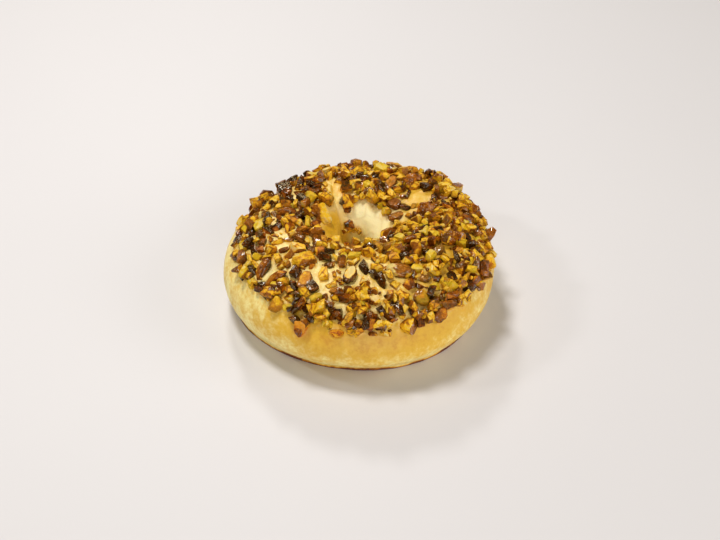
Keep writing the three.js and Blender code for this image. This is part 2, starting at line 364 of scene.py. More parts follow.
class Nut(Enum):
    """The kinds of nut pieces on the bagel."""

    GOLD_CHIP = NutLook(NutShape.CHOPPED, 0.3, 0.3, 0.24, 0.3, 0.2)
    AMBER_CHIP = NutLook(NutShape.CHOPPED, 0.44, 0.15, 0.32, 0.4, 0.3)
    BROWN_CHIP = NutLook(NutShape.CHOPPED, 0.6, 0.0, 0.4, 0.5, 0.6)
    SKIN_CHIP = NutLook(NutShape.CHOPPED, 0.36, 0.15, 0.44, 0.6, 0.8)
    ORANGE_CHIP = NutLook(NutShape.CHOPPED, 0.3, 0.0, 0.12, 0.3, 0.2, 0.3)
    GREEN_CHIP = NutLook(NutShape.CHOPPED, 0.28, 0.75, 0.22, 0.3, 0.2)
    CREAM_CHIP = NutLook(NutShape.CHOPPED, 0.1, 0.05, 0.2, 0.1, 0.1)
    BURNT_CHIP = NutLook(NutShape.CHOPPED, 0.7, 0.0, 0.6, 0.95, 0.9)
    GREY_CHIP = NutLook(NutShape.CHOPPED, 0.5, 0.9, 0.6, 0.3, 1.0)
    BLACK_STRIP = NutLook(NutShape.CHOPPED, 0.9, 0.0, 0.9, 1.15, 1.0)
    PALE_HALF = NutLook(NutShape.CUT_HALF, -0.1, 0.05, 0.0, 0.45)
    GOLD_HALF = NutLook(NutShape.CUT_HALF, 0.7, 0.15, 0.0, 0.5)
    AMBER_HALF = NutLook(NutShape.CUT_HALF, 0.88, 0.05, 0.0, 0.5)
    GREY_HALF = NutLook(NutShape.SKIN_HALF, 0.1, 0.3, 0.7, 0.5)
    BROWN_HALF = NutLook(NutShape.SKIN_HALF, 0.5, 0.0, 1.0, 0.4)
    SEED = NutLook(NutShape.SKIN_HALF, 0.5, 0.6, 1.0, 0.66)
    GOLD_LUMP = NutLook(NutShape.LUMP, 0.28, 0.2, 0.3, 0.15, 0.1)
    YELLOW_LUMP = NutLook(NutShape.LUMP, 0.46, 0.25, 0.0, 0.4)
    GREEN_LUMP = NutLook(NutShape.LUMP, 0.7, 0.45, 0.3, 0.4, 0.2, 0.0, 4.0)
    TAN_LUMP = NutLook(NutShape.LUMP, 0.36, 0.0)
    RED_LUMP = NutLook(NutShape.LUMP, 0.36, 0.0, 0.18, 0.4, 0.9, 0.6, 3.5)
    BURNT_LUMP = NutLook(NutShape.LUMP, 0.8, 0.0, 0.5, 0.8, 1.0)
    BROWN_KNOT = NutLook(NutShape.KNOT, 0.5)
    BURNT_KNOT = NutLook(NutShape.KNOT, 0.7)


@dataclass
class NutPiece:
    """One piece of nut where it lies on the dough, in millimetres.

    Attributes:
        origin: Point of the dough under its middle.
        turn: Its length, breadth and height directions, as columns.
        size: Half its length, half its breadth and its height above the dough.
        look: Its kind.
        peak: Height of its middle, as a share of its height.
        rim_reach: How far each of its four rim corners reaches out.
        rim_height: How high each of them is.
        key: Number that no other piece has.
    """

    origin: Array
    turn: Array
    size: Array
    look: Nut
    peak: float
    rim_reach: Array
    rim_height: Array
    key: int

    @property
    def reach(self) -> float:
        """Mean half width seen from above."""
        return float(self.size[0] + self.size[1]) / 2.0


NutRow = tuple[float, float, float, float, float, float, Nut]

LANDMARKS: tuple[NutRow, ...] = (
    (272, 90, 8.6, 4.2, 3.2, -69, Nut.BLACK_STRIP),
    (281, 76, 8.4, 4.0, 3.0, -66, Nut.BLACK_STRIP),
    (295, 82, 10.2, 6.4, 3.8, -12, Nut.GREY_HALF),
    (296, 69, 6.6, 5.0, 3.2, 40, Nut.BROWN_CHIP),
    (307, 68, 4.8, 3.4, 2.2, 0, Nut.SEED),
    (262, 83, 8.2, 4.8, 2.6, 73, Nut.PALE_HALF),
    (236, 68, 8.0, 5.0, 2.6, 65, Nut.GOLD_HALF),
    (245, 77, 7.4, 5.4, 3.2, 90, Nut.AMBER_CHIP),
    (228, 70, 5.6, 4.2, 3.4, 60, Nut.BURNT_CHIP),
    (242, 64, 5.6, 4.6, 3.2, -55, Nut.BURNT_CHIP),
    (210, 55, 9.8, 4.6, 3.2, 44, Nut.BROWN_HALF),
    (220, 57, 10.2, 4.6, 3.2, 22, Nut.BROWN_HALF),
    (258, 63, 8.6, 6.0, 4.0, -10, Nut.BROWN_KNOT),
    (226, 83, 8.6, 6.0, 3.6, 20, Nut.GOLD_LUMP),
    (257, 47, 5.8, 5.0, 3.6, 0, Nut.BURNT_KNOT),
    (229, 38, 5.2, 4.4, 3.2, 20, Nut.YELLOW_LUMP),
    (243, 26, 5.6, 4.6, 2.6, 60, Nut.RED_LUMP),
    (259, 29, 7.4, 4.0, 2.4, -15, Nut.ORANGE_CHIP),
    (273, 43, 6.6, 5.6, 4.0, 80, Nut.BURNT_KNOT),
    (289, 35, 7.0, 5.6, 3.8, 60, Nut.SKIN_CHIP),
    (305, 34, 6.0, 4.6, 3.2, 70, Nut.AMBER_HALF),
    (299, 54, 5.6, 5.0, 3.6, 0, Nut.GREEN_LUMP),
    (349, 33, 4.8, 4.4, 3.2, 0, Nut.TAN_LUMP),
    (16, 98, 6.2, 5.6, 3.8, 0, Nut.BURNT_LUMP),
    (66, 91, 8.4, 4.4, 3.2, 70, Nut.GOLD_HALF),
    (73, 49, 7.2, 5.6, 4.0, 0, Nut.GOLD_LUMP),
    (88, 50, 5.2, 4.4, 4.0, 30, Nut.AMBER_CHIP),
    (58, 68, 7.0, 4.2, 3.0, 5, Nut.BROWN_HALF),
    (134, 44, 7.0, 5.6, 4.0, 10, Nut.SKIN_CHIP),
    (143, 41, 6.4, 5.0, 4.0, 60, Nut.SKIN_CHIP),
    (168, 68, 6.0, 4.6, 2.8, 15, Nut.GREY_HALF),
    (167, 88, 8.4, 4.2, 3.0, -8, Nut.BROWN_HALF),
    (165, 118, 7.8, 5.4, 3.4, -50, Nut.GOLD_LUMP),
    (107, 119, 7.0, 5.4, 3.6, 100, Nut.AMBER_CHIP),
    (107, 101, 5.6, 5.0, 3.6, 30, Nut.SKIN_CHIP),
    (122, 148, 5.0, 4.0, 2.6, 20, Nut.BROWN_CHIP),
    (43, 116, 6.6, 4.8, 3.0, -40, Nut.AMBER_HALF),
    (22, 125, 7.0, 3.8, 2.4, 28, Nut.GOLD_HALF),
    (350, 140, 7.2, 3.8, 2.6, 15, Nut.AMBER_CHIP),
    (195, 46, 7.0, 4.6, 3.2, 73, Nut.SKIN_CHIP),
    (330, 79, 6.4, 5.0, 3.2, 20, Nut.GREY_CHIP),
)


WALL_PIECES: tuple[NutRow, ...] = (
    (115, 151, 4.2, 3.0, 2.2, 80, Nut.GOLD_CHIP),
    (129, 152, 4.4, 3.2, 2.2, 30, Nut.AMBER_CHIP),
    (121, 146, 4.0, 3.0, 2.4, 60, Nut.BURNT_CHIP),
    (107, 155, 3.2, 2.4, 1.6, 20, Nut.CREAM_CHIP),
    (90, 157, 3.4, 2.2, 1.6, 100, Nut.CREAM_CHIP),
    (140, 152, 3.0, 2.2, 1.6, 60, Nut.GOLD_CHIP),
    (116, 118, 4.4, 3.0, 2.6, 70, Nut.BURNT_CHIP),
    (113, 128, 4.4, 3.2, 2.4, 95, Nut.BROWN_CHIP),
    (99, 118, 4.4, 3.4, 2.6, 60, Nut.AMBER_CHIP),
    (304, 29, 4.0, 3.0, 2.8, 75, Nut.BURNT_CHIP),
    (240, 31, 4.8, 3.6, 2.8, 20, Nut.BURNT_CHIP),
    (245, 33, 4.6, 3.4, 2.8, 100, Nut.SKIN_CHIP),
    (243, 28, 3.6, 2.6, 2.2, 60, Nut.BROWN_CHIP),
    (271, 39, 4.2, 3.2, 3.2, 20, Nut.BLACK_STRIP),
    (276, 37, 3.8, 3.0, 2.8, 110, Nut.BURNT_CHIP),
    (277, 83, 6.0, 3.4, 2.8, -67, Nut.BLACK_STRIP),
)


@dataclass(frozen=True)
class Handful:
    """A handful of small pieces that is strewn between the large ones.

    Attributes:
        tries: How many places are tried.
        lengths: Length of the first and of the last, in millimetres.
        gap: Share of the reaches that they keep from the large pieces.
        own_gap: Share of the reaches that they keep from each other.
    """

    tries: int
    lengths: tuple[float, float]
    gap: float
    own_gap: float


@dataclass
class NutPile:
    """Lays the nuts on the dough: the ones of the solid, then the small ones between them."""

    form: DoughForm
    band: NutBand
    rim_corners: int = 4
    draws_for_size: int = 6
    candidates: int = 4500
    largest: float = 7.2
    smallest: float = 3.8
    size_spread: float = 0.12
    breadth: Span = (0.5, 0.88)
    tallness: Span = (0.48, 0.76)
    bit_handful: Handful = Handful(2400, (7.0, 4.6), 0.5, 0.76)
    shard_handful: Handful = Handful(1600, (4.8, 3.0), 0.68, 0.9)
    crumb_handful: Handful = Handful(800, (2.6, 1.4), 0.7, 1.0)
    loose_tilt: float = 62.0
    loose_angles: Span = (28.0, 142.0)
    loose_spread: Span = (0.85, 1.15)
    loose_breadth: Span = (0.42, 0.76)
    loose_tallness: Span = (0.5, 0.85)
    heap_share: float = 0.8
    heap_reach: float = 0.95
    rim_reach: Span = (0.62, 1.0)
    rim_height: Span = (0.45, 1.05)
    peak_height: Span = (0.86, 1.12)
    spacing: float = 0.8
    sparse_spacing: float = 0.12
    sparse_bearing: float = 240.0
    sparse_angles: Span = (48.0, 60.0)
    sparse_skip: float = 0.25
    landmark_gap: float = 0.62
    bare_share: float = 0.4
    near_dark: float = 3.0
    edge_bearing: float = 258.0
    edge_fade: Span = (8.0, 22.0)
    far_bearing: float = 118.0
    far_fade: Span = (80.0, 100.0)
    far_dark: float = 0.7
    crowding: float = 0.45
    thick_side: Side = Side(40.0, -0.3, 0.5)
    thick_crowd: float = 0.5
    near_side: Side = Side(278.0, 0.7, 0.95)
    near_fade: Span = (70.0, 84.0)
    near_crowd: float = 0.6
    chip_kinds: tuple[tuple[Nut, float], ...] = (
        (Nut.GOLD_CHIP, 0.27),
        (Nut.AMBER_CHIP, 0.22),
        (Nut.BROWN_CHIP, 0.13),
        (Nut.SKIN_CHIP, 0.16),
        (Nut.GREEN_CHIP, 0.09),
        (Nut.CREAM_CHIP, 0.03),
        (Nut.BURNT_CHIP, 0.1),
    )
    knot_kinds: tuple[tuple[Nut, tuple[Nut, ...]], ...] = (
        (Nut.BROWN_KNOT, (Nut.AMBER_CHIP, Nut.BROWN_CHIP, Nut.SKIN_CHIP)),
        (Nut.BURNT_KNOT, (Nut.BURNT_CHIP, Nut.BROWN_CHIP, Nut.BLACK_STRIP)),
    )
    knot_places: tuple[tuple[float, float, float], ...] = (
        (-0.52, -0.36, 0.0),
        (0.45, -0.42, 0.0),
        (0.52, 0.4, 0.0),
        (-0.42, 0.44, 0.0),
        (0.02, 0.0, 0.4),
    )
    knot_share: Triple = (0.62, 0.64, 0.84)
    knot_seed: int = 7
    seed: int = 41
    laid: list[NutPiece] = field(default_factory=list)
    bits: list[NutPiece] = field(default_factory=list)
    shards: list[NutPiece] = field(default_factory=list)
    crumbs: list[NutPiece] = field(default_factory=list)

    def __post_init__(self) -> None:
        """Starts the numbers that choose each piece's kind."""
        self._chance = np.random.default_rng(self.seed)
        self._count = 0

    def lay_all(self) -> None:
        """Lays every piece, the largest first."""
        self._lay_solid_pieces()
        self._lay_wall_pieces()
        self.bits += self._lay_between(self.bit_handful)
        self.shards = self._lay_between(self.shard_handful)
        self.crumbs = self._lay_between(self.crumb_handful)
        self.laid = [block for piece in self.laid for block in self._break_up(piece)]

    def _break_up(self, piece: NutPiece) -> list[NutPiece]:
        """The small blocks of a knot, inside its outline.

        Args:
            piece: A piece of the solid.

        Returns:
            Its blocks, or the piece itself where it isn't a knot.
        """
        kinds = dict(self.knot_kinds).get(piece.look)
        if kinds is None:
            return [piece]
        blocks = []
        chance = np.random.default_rng([self.knot_seed, piece.key])
        for number, place in enumerate(self.knot_places):
            draws = chance.uniform(0.0, 1.0, 3 + 2 * self.rim_corners)
            self._count += 1
            blocks.append(
                replace(
                    piece,
                    origin=piece.origin + piece.turn @ (piece.size * place),
                    turn=piece.turn @ self._tilt(self.loose_tilt, draws[0], draws[1]),
                    size=piece.size * self.knot_share,
                    look=kinds[number % len(kinds)],
                    peak=mix(*self.peak_height, draws[2]),
                    rim_reach=mix(*self.rim_reach, draws[3 : 3 + self.rim_corners]),
                    rim_height=mix(*self.rim_height, draws[3 + self.rim_corners :]),
                    key=self._count,
                )
            )
        return blocks

    def _lay_wall_pieces(self) -> None:
        """Lays the few small pieces that cling to the wall of the hole and to the near edge."""
        for *spot, length, breadth, height, heading, look in WALL_PIECES:
            draws = self._chance.uniform(0.0, 1.0, 3 + 2 * self.rim_corners).tolist()
            self.bits.append(self._piece(tuple(spot), (length, breadth, height), heading, draws, look))

    def _piece(self, spot: Spot, sizes: Triple, heading: float,
               draws: list[float], look: Nut, lift: float = 0.0, tilt_limit: float = 46.0) -> NutPiece:
        """One piece from its place, its size and the numbers drawn for its shape.

        Args:
            spot: Bearing and section angle in degrees.
            sizes: Length, breadth and height.
            heading: Where its length points, seen from above, in degrees.
            draws: Tilt, heading of the tilt, peak, then reach and height of the rim corners.
            look: Its kind.
            lift: How far it lies above the dough.
            tilt_limit: The largest tilt, in degrees.

        Returns:
            The piece.
        """
        here, normal = self.form.place(np.array(math.radians(spot[0])), np.array(math.radians(spot[1])))
        turned = math.radians(heading)
        side = unit(np.cross(normal, [math.cos(turned), math.sin(turned), 0.0]))
        basis = np.stack([np.cross(side, normal), side, normal], axis=1)
        rim = np.array(draws[3:])
        self._count += 1
        return NutPiece(
            origin=here + lift * normal,
            turn=basis @ self._tilt(tilt_limit, draws[0], draws[1]),
            size=np.array([sizes[0] / 2.0, sizes[1] / 2.0, sizes[2]]),
            look=look,
            peak=mix(*self.peak_height, draws[2]),
            rim_reach=mix(*self.rim_reach, rim[: self.rim_corners]),
            rim_height=mix(*self.rim_height, rim[self.rim_corners :]),
            key=self._count,
        )

    def _tilt(self, limit: float, share: float, heading: float) -> Array:
        """Turn about a level axis.

        Args:
            limit: The largest tilt, in degrees.
            share: Drawn share of the largest tilt, which its square sets.
            heading: Drawn share of a full turn to the axis.

        Returns:
            The turn as a 3 by 3 matrix.
        """
        angle = math.radians(limit) * share * share
        x, y = math.cos(FULL_TURN * heading), math.sin(FULL_TURN * heading)
        twist = np.array([[0.0, 0.0, y], [0.0, 0.0, -x], [-y, x, 0.0]])
        return np.eye(3) + math.sin(angle) * twist + (1.0 - math.cos(angle)) * twist @ twist

    def _chip_kind(self, spot: Spot) -> Nut:
        """Kind of the next chopped piece: more dark ones at the near edge and on the far slope."""
        kinds = [kind for kind, _ in self.chip_kinds]
        scorched = self.near_dark * max(self._near_edge(spot), self._far_slope(spot))
        weights = [share * (1.0 + scorched * kind.value.burnt**2) for kind, share in self.chip_kinds]
        shares = np.array(weights) / np.sum(weights)
        return kinds[int(self._chance.choice(len(kinds), p=shares))]

    def _bare_points(self) -> list[tuple[Array, float]]:
        """Middle and radius of each place that no piece covers."""
        return [(self._under((bearing, angle)), radius) for bearing, angle, radius in self.band.bare_spots]

    def _under(self, spot: Spot) -> Array:
        """Point of the dough at a bearing and section angle in degrees."""
        return self.form.point(np.array(math.radians(spot[0])), np.array(math.radians(spot[1])))

    def _lay_solid_pieces(self) -> None:
        """Lays the pieces that the solid has: those that stand out, then the thrown ones."""
        draws = Draws()
        count_each = self.draws_for_size + 3 + 2 * self.rim_corners
        for *spot, length, breadth, height, heading, look in LANDMARKS:
            shape = draws.take(count_each)[self.draws_for_size :]
            self.laid.append(self._piece(tuple(spot), (length, breadth, height), heading, shape, look))
        bare = self._bare_points()
        low = self.band.outer_angle - self.band.outer_swing
        high = self.band.inner_angle + self.band.inner_swing
        for count in range(self.candidates):
            drawn = draws.take(count_each)
            turn, around, stretch, breadth_share, height_share, heading_share = drawn[: self.draws_for_size]
            spot = (360.0 * turn, mix(low, high, around))
            if not self.band.holds(*spot) or self.band.keeps_bare(*spot):
                continue
            spread = 1.0 + self.size_spread * (2.0 * stretch - 1.0)
            length = mix(self.largest, self.smallest, math.sqrt(count / self.candidates)) * spread
            breadth = length * mix(*self.breadth, breadth_share)
            height = breadth * mix(*self.tallness, height_share)
            if self._is_clear(spot, (length + breadth) / 4.0, bare):
                shape = drawn[self.draws_for_size :]
                sizes = (length, breadth, height)
                look = self._chip_kind(spot)
                self.laid.append(self._piece(spot, sizes, 360.0 * heading_share, shape, look))

    def _sparse(self, spot: Spot) -> float:
        """How thin the nuts lie at a bearing and section angle in degrees."""
        turned = math.cos(math.radians(spot[0] - self.sparse_bearing))
        return max(0.0, turned) * float(ease(spot[1], *self.sparse_angles))

    def _near_edge(self, spot: Spot) -> float:
        """Share of the near side's lower edge at a bearing and section angle in degrees."""
        outer, _ = self.band.edges(spot[0])
        near = max(0.0, math.cos(math.radians(spot[0] - self.edge_bearing)))
        low, high = self.edge_fade
        return near * (1.0 - float(ease(spot[1], outer + low, outer + high)))

    def _far_slope(self, spot: Spot) -> float:
        """Share of the far side's slope at a bearing and section angle in degrees."""
        far = max(0.0, math.cos(math.radians(spot[0] - self.far_bearing)))
        return self.far_dark * far * (1.0 - float(ease(spot[1], *self.far_fade)))

    def _crowd(self, spot: Spot) -> float:
        """How thick the small pieces lie: most on the near side and on the far right."""
        bearing = math.radians(spot[0])
        thick = self.thick_crowd * float(self.thick_side.share(bearing))
        near = self.near_crowd * float(self.near_side.share(bearing))
        return max(self._near_edge(spot), thick, near * (1.0 - float(ease(spot[1], *self.near_fade))))

    def _is_clear(self, spot: Spot, reach: float, bare: list[tuple[Array, float]]) -> bool:
        """Whether a thrown piece finds room.

        Args:
            spot: Bearing and section angle in degrees.
            reach: Its mean half width.
            bare: Middle and radius of each bare spot.

        Returns:
            True if it is clear of the bare spots and of the pieces already laid.
        """
        here = self._under(spot)
        spacing = self.spacing + self.sparse_spacing * self._sparse(spot)
        if any(np.linalg.norm(middle - here) <= radius + reach / 2.0 for middle, radius in bare):
            return False
        return self._keeps_off(here, reach, spacing, self.laid)

    def _keeps_off(self, here: Array, reach: float, spacing: float, pieces: list[NutPiece]) -> bool:
        """Whether a piece keeps a share of the reaches away from others.

        Args:
            here: Point of the dough under its middle.
            reach: Its mean half width.
            spacing: Share of the reaches to keep.
            pieces: The others.

        Returns:
            True if it is far enough from each of them.
        """
        return all(np.linalg.norm(piece.origin - here) > spacing * (piece.reach + reach) for piece in pieces)

    def _hides_landmark(self, here: Array, reach: float) -> bool:
        """Whether a piece of a mean half width would lie over one of the pieces that stand out."""
        for piece in self.laid[: len(LANDMARKS)]:
            local = (here - piece.origin) @ piece.turn
            if np.hypot(*(local[:2] / (piece.size[:2] + self.landmark_gap * reach))) < 1.0:
                return True
        return False

    def _lay_between(self, handful: Handful) -> list[NutPiece]:
        """Small pieces in the gaps between the large ones and against their sides.

        Args:
            handful: How many, how large and how far apart.

        Returns:
            The pieces that found room.
        """
        placed: list[NutPiece] = []
        earlier = self.laid + self.bits + self.shards
        middles = np.array([piece.origin for piece in earlier])
        reaches = np.array([piece.reach for piece in earlier])
        bare = self._bare_points()
        for count in range(handful.tries):
            spot = (self._chance.uniform(0.0, 360.0), self._chance.uniform(*self.loose_angles))
            draws = self._chance.uniform(0.0, 1.0, 3 + 2 * self.rim_corners).tolist()
            typical = mix(*handful.lengths, math.sqrt(count / handful.tries))
            length = typical * self._chance.uniform(*self.loose_spread)
            breadth = length * self._chance.uniform(*self.loose_breadth)
            height = breadth * self._chance.uniform(*self.loose_tallness)
            heading = self._chance.uniform(0.0, 360.0)
            look = self._chip_kind(spot)
            skipped = self._chance.random() < self.sparse_skip * self._sparse(spot)
            if skipped or not self.band.holds(*spot) or self.band.keeps_bare(*spot):
                continue
            crowd = 1.0 - self.crowding * self._crowd(spot)
            here = self._under(spot)
            reach = (length + breadth) / 4.0
            if any(np.linalg.norm(middle - here) <= self.bare_share * radius for middle, radius in bare):
                continue
            apart = np.linalg.norm(middles - here, axis=1) / (reaches + reach)
            if (apart < crowd * handful.gap).any() or self._hides_landmark(here, reach):
                continue
            if not self._keeps_off(here, reach, crowd * handful.own_gap, placed):
                continue
            nearest = int(np.argmin(apart))
            against = 1.0 - float(ease(apart[nearest], handful.gap, self.heap_reach))
            lift = self.heap_share * earlier[nearest].size[2] * against
            sizes = (length, breadth, height)
            placed.append(self._piece(spot, sizes, heading, draws, look, lift, self.loose_tilt))
        return placed


@dataclass(frozen=True)
class Ball:
    """Even directions round a point and the triangles between them.

    Attributes:
        directions: Unit vectors, one a row.
        triangles: Three row numbers each.
    """

    directions: Array
    triangles: Array

    @classmethod
    def of_level(cls, level: int) -> "Ball":
        """Ball of a level of fineness: 80 triangles at 2, then four times as many at each."""
        shape = bmesh.new()
        bmesh.ops.create_icosphere(shape, subdivisions=level, radius=1.0)
        shape.verts.ensure_lookup_table()
        directions = unit(np.array([vertex.co[:] for vertex in shape.verts]))
        triangles = np.array([[vertex.index for vertex in face.verts] for face in shape.faces])
        shape.free()
        return cls(directions, triangles)


@dataclass(frozen=True)
class CutBlock:
    """A block that flat cuts enclose, with a narrow bevel along its edges.

    Attributes:
        points: Corners of the faces, then the same corners drawn in to the face's middle.
        owners: Number of the cut that each point lies on.
        is_rim: One at the corners and zero at those drawn in.
        faces: Point numbers of each face.
    """

    points: Array
    owners: Array
    is_rim: Array
    faces: list[list[int]]

    @classmethod
    def between(cls, normals: Array, offsets: Array, bevel: float, drawn_in: float) -> "CutBlock":
        """Block that cuts enclose.

        Args:
            normals: Outward direction of each cut.
            offsets: Distance of each cut from the middle.
            bevel: Share of a face that its bevel takes.
            drawn_in: Share of the way that the inner corners lie towards the face's middle.

        Returns:
            The block.
        """
        corners = cls._corners(normals, offsets)
        outlines = cls._outlines(corners, normals, offsets)
        points, owners, is_rim, faces = [], [], [], []
        spots: dict[tuple[int, int], int] = {}
        for cut, outline in outlines.items():
            middle = corners[outline].mean(axis=0)
            first, count = len(points), len(outline)
            points.extend(mix(corners[outline], middle, bevel))
            points.extend(mix(corners[outline], middle, drawn_in))
            owners.extend([cut] * 2 * count)
            is_rim.extend([1.0] * count + [0.0] * count)
            spots.update({(cut, corner): first + index for index, corner in enumerate(outline)})
            faces.append(list(range(first + count, first + 2 * count)))
            for index in range(count):
                following = (index + 1) % count
                ring = [first + index, first + following, first + count + following, first + count + index]
                faces.append(ring)
        faces.extend(cls._bevels(outlines, spots))
        faces.extend(cls._tips(corners, normals, outlines, spots))
        return cls(np.array(points), np.array(owners), np.array(is_rim), faces)

    @staticmethod
    def _corners(normals: Array, offsets: Array) -> Array:
        """Points where three cuts meet and no other cut takes them away."""
        trios = np.array(list(combinations(range(len(normals)), 3)))
        trios = trios[np.abs(np.linalg.det(normals[trios])) > LEAST_SPREAD]
        meets = np.linalg.solve(normals[trios], offsets[trios][:, :, None])[:, :, 0]
        kept = meets[(meets @ normals.T <= offsets + CUT_TOLERANCE).all(axis=1)]
        return np.unique(np.round(kept, 5), axis=0)

    @staticmethod
    def _outlines(corners: Array, normals: Array, offsets: Array) -> dict[int, list[int]]:
        """Corner numbers round each cut's face, by the cut's number."""
        outlines = {}
        for cut, (normal, offset) in enumerate(zip(normals, offsets)):
            found = np.flatnonzero(np.abs(corners @ normal - offset) < FACE_TOLERANCE)
            if len(found) > 2:
                outlines[cut] = CutBlock._round_trip(corners, found, normal)
        return outlines

    @staticmethod
    def _round_trip(corners: Array, found: Array, normal: Array) -> list[int]:
        """Numbers of points in the order in which they lie round a direction."""
        side = unit(np.cross(normal, np.roll(normal, 1) + [0.3, 0.1, 0.2]))
        spread = corners[found] - corners[found].mean(axis=0)
        angles = np.arctan2(spread @ np.cross(normal, side), spread @ side)
        return found[np.argsort(angles)].tolist()

    @staticmethod
    def _bevels(outlines: dict[int, list[int]], spots: dict[tuple[int, int], int]) -> list[list[int]]:
        """Narrow faces along the edges between two cuts."""
        sides = {}
        for cut, outline in outlines.items():
            for start, end in zip(outline, outline[1:] + outline[:1]):
                sides[start, end] = cut
        bevels = []
        for (start, end), cut in sides.items():
            other = sides.get((end, start))
            if start < end and other is not None:
                bevels.append([spots[cut, end], spots[cut, start], spots[other, start], spots[other, end]])
        return bevels

    @staticmethod
    def _tips(corners: Array, normals: Array, outlines: dict[int, list[int]],
              spots: dict[tuple[int, int], int]) -> list[list[int]]:
        """Small faces at the corners where three or more cuts meet."""
        tips = []
        for corner in range(len(corners)):
            cuts = np.array([cut for cut, outline in outlines.items() if corner in outline])
            if len(cuts) > 2:
                around = CutBlock._round_trip(normals, cuts, unit(normals[cuts].sum(axis=0)))
                tips.append([spots[cut, corner] for cut in around])
        return tips


@dataclass(frozen=True)
class CarvedNut:
    """A piece's surface: its points and what each of them shows.

    Attributes:
        points: Places in millimetres, one a row.
        faces: Point numbers of each face.
        skin: Share of skin at each point.
        edge: How near each is to an edge between two faces.
        tone: Ups and downs of the colour.
    """

    points: Array
    faces: list[list[int]]
    skin: Array
    edge: Array
    tone: Array


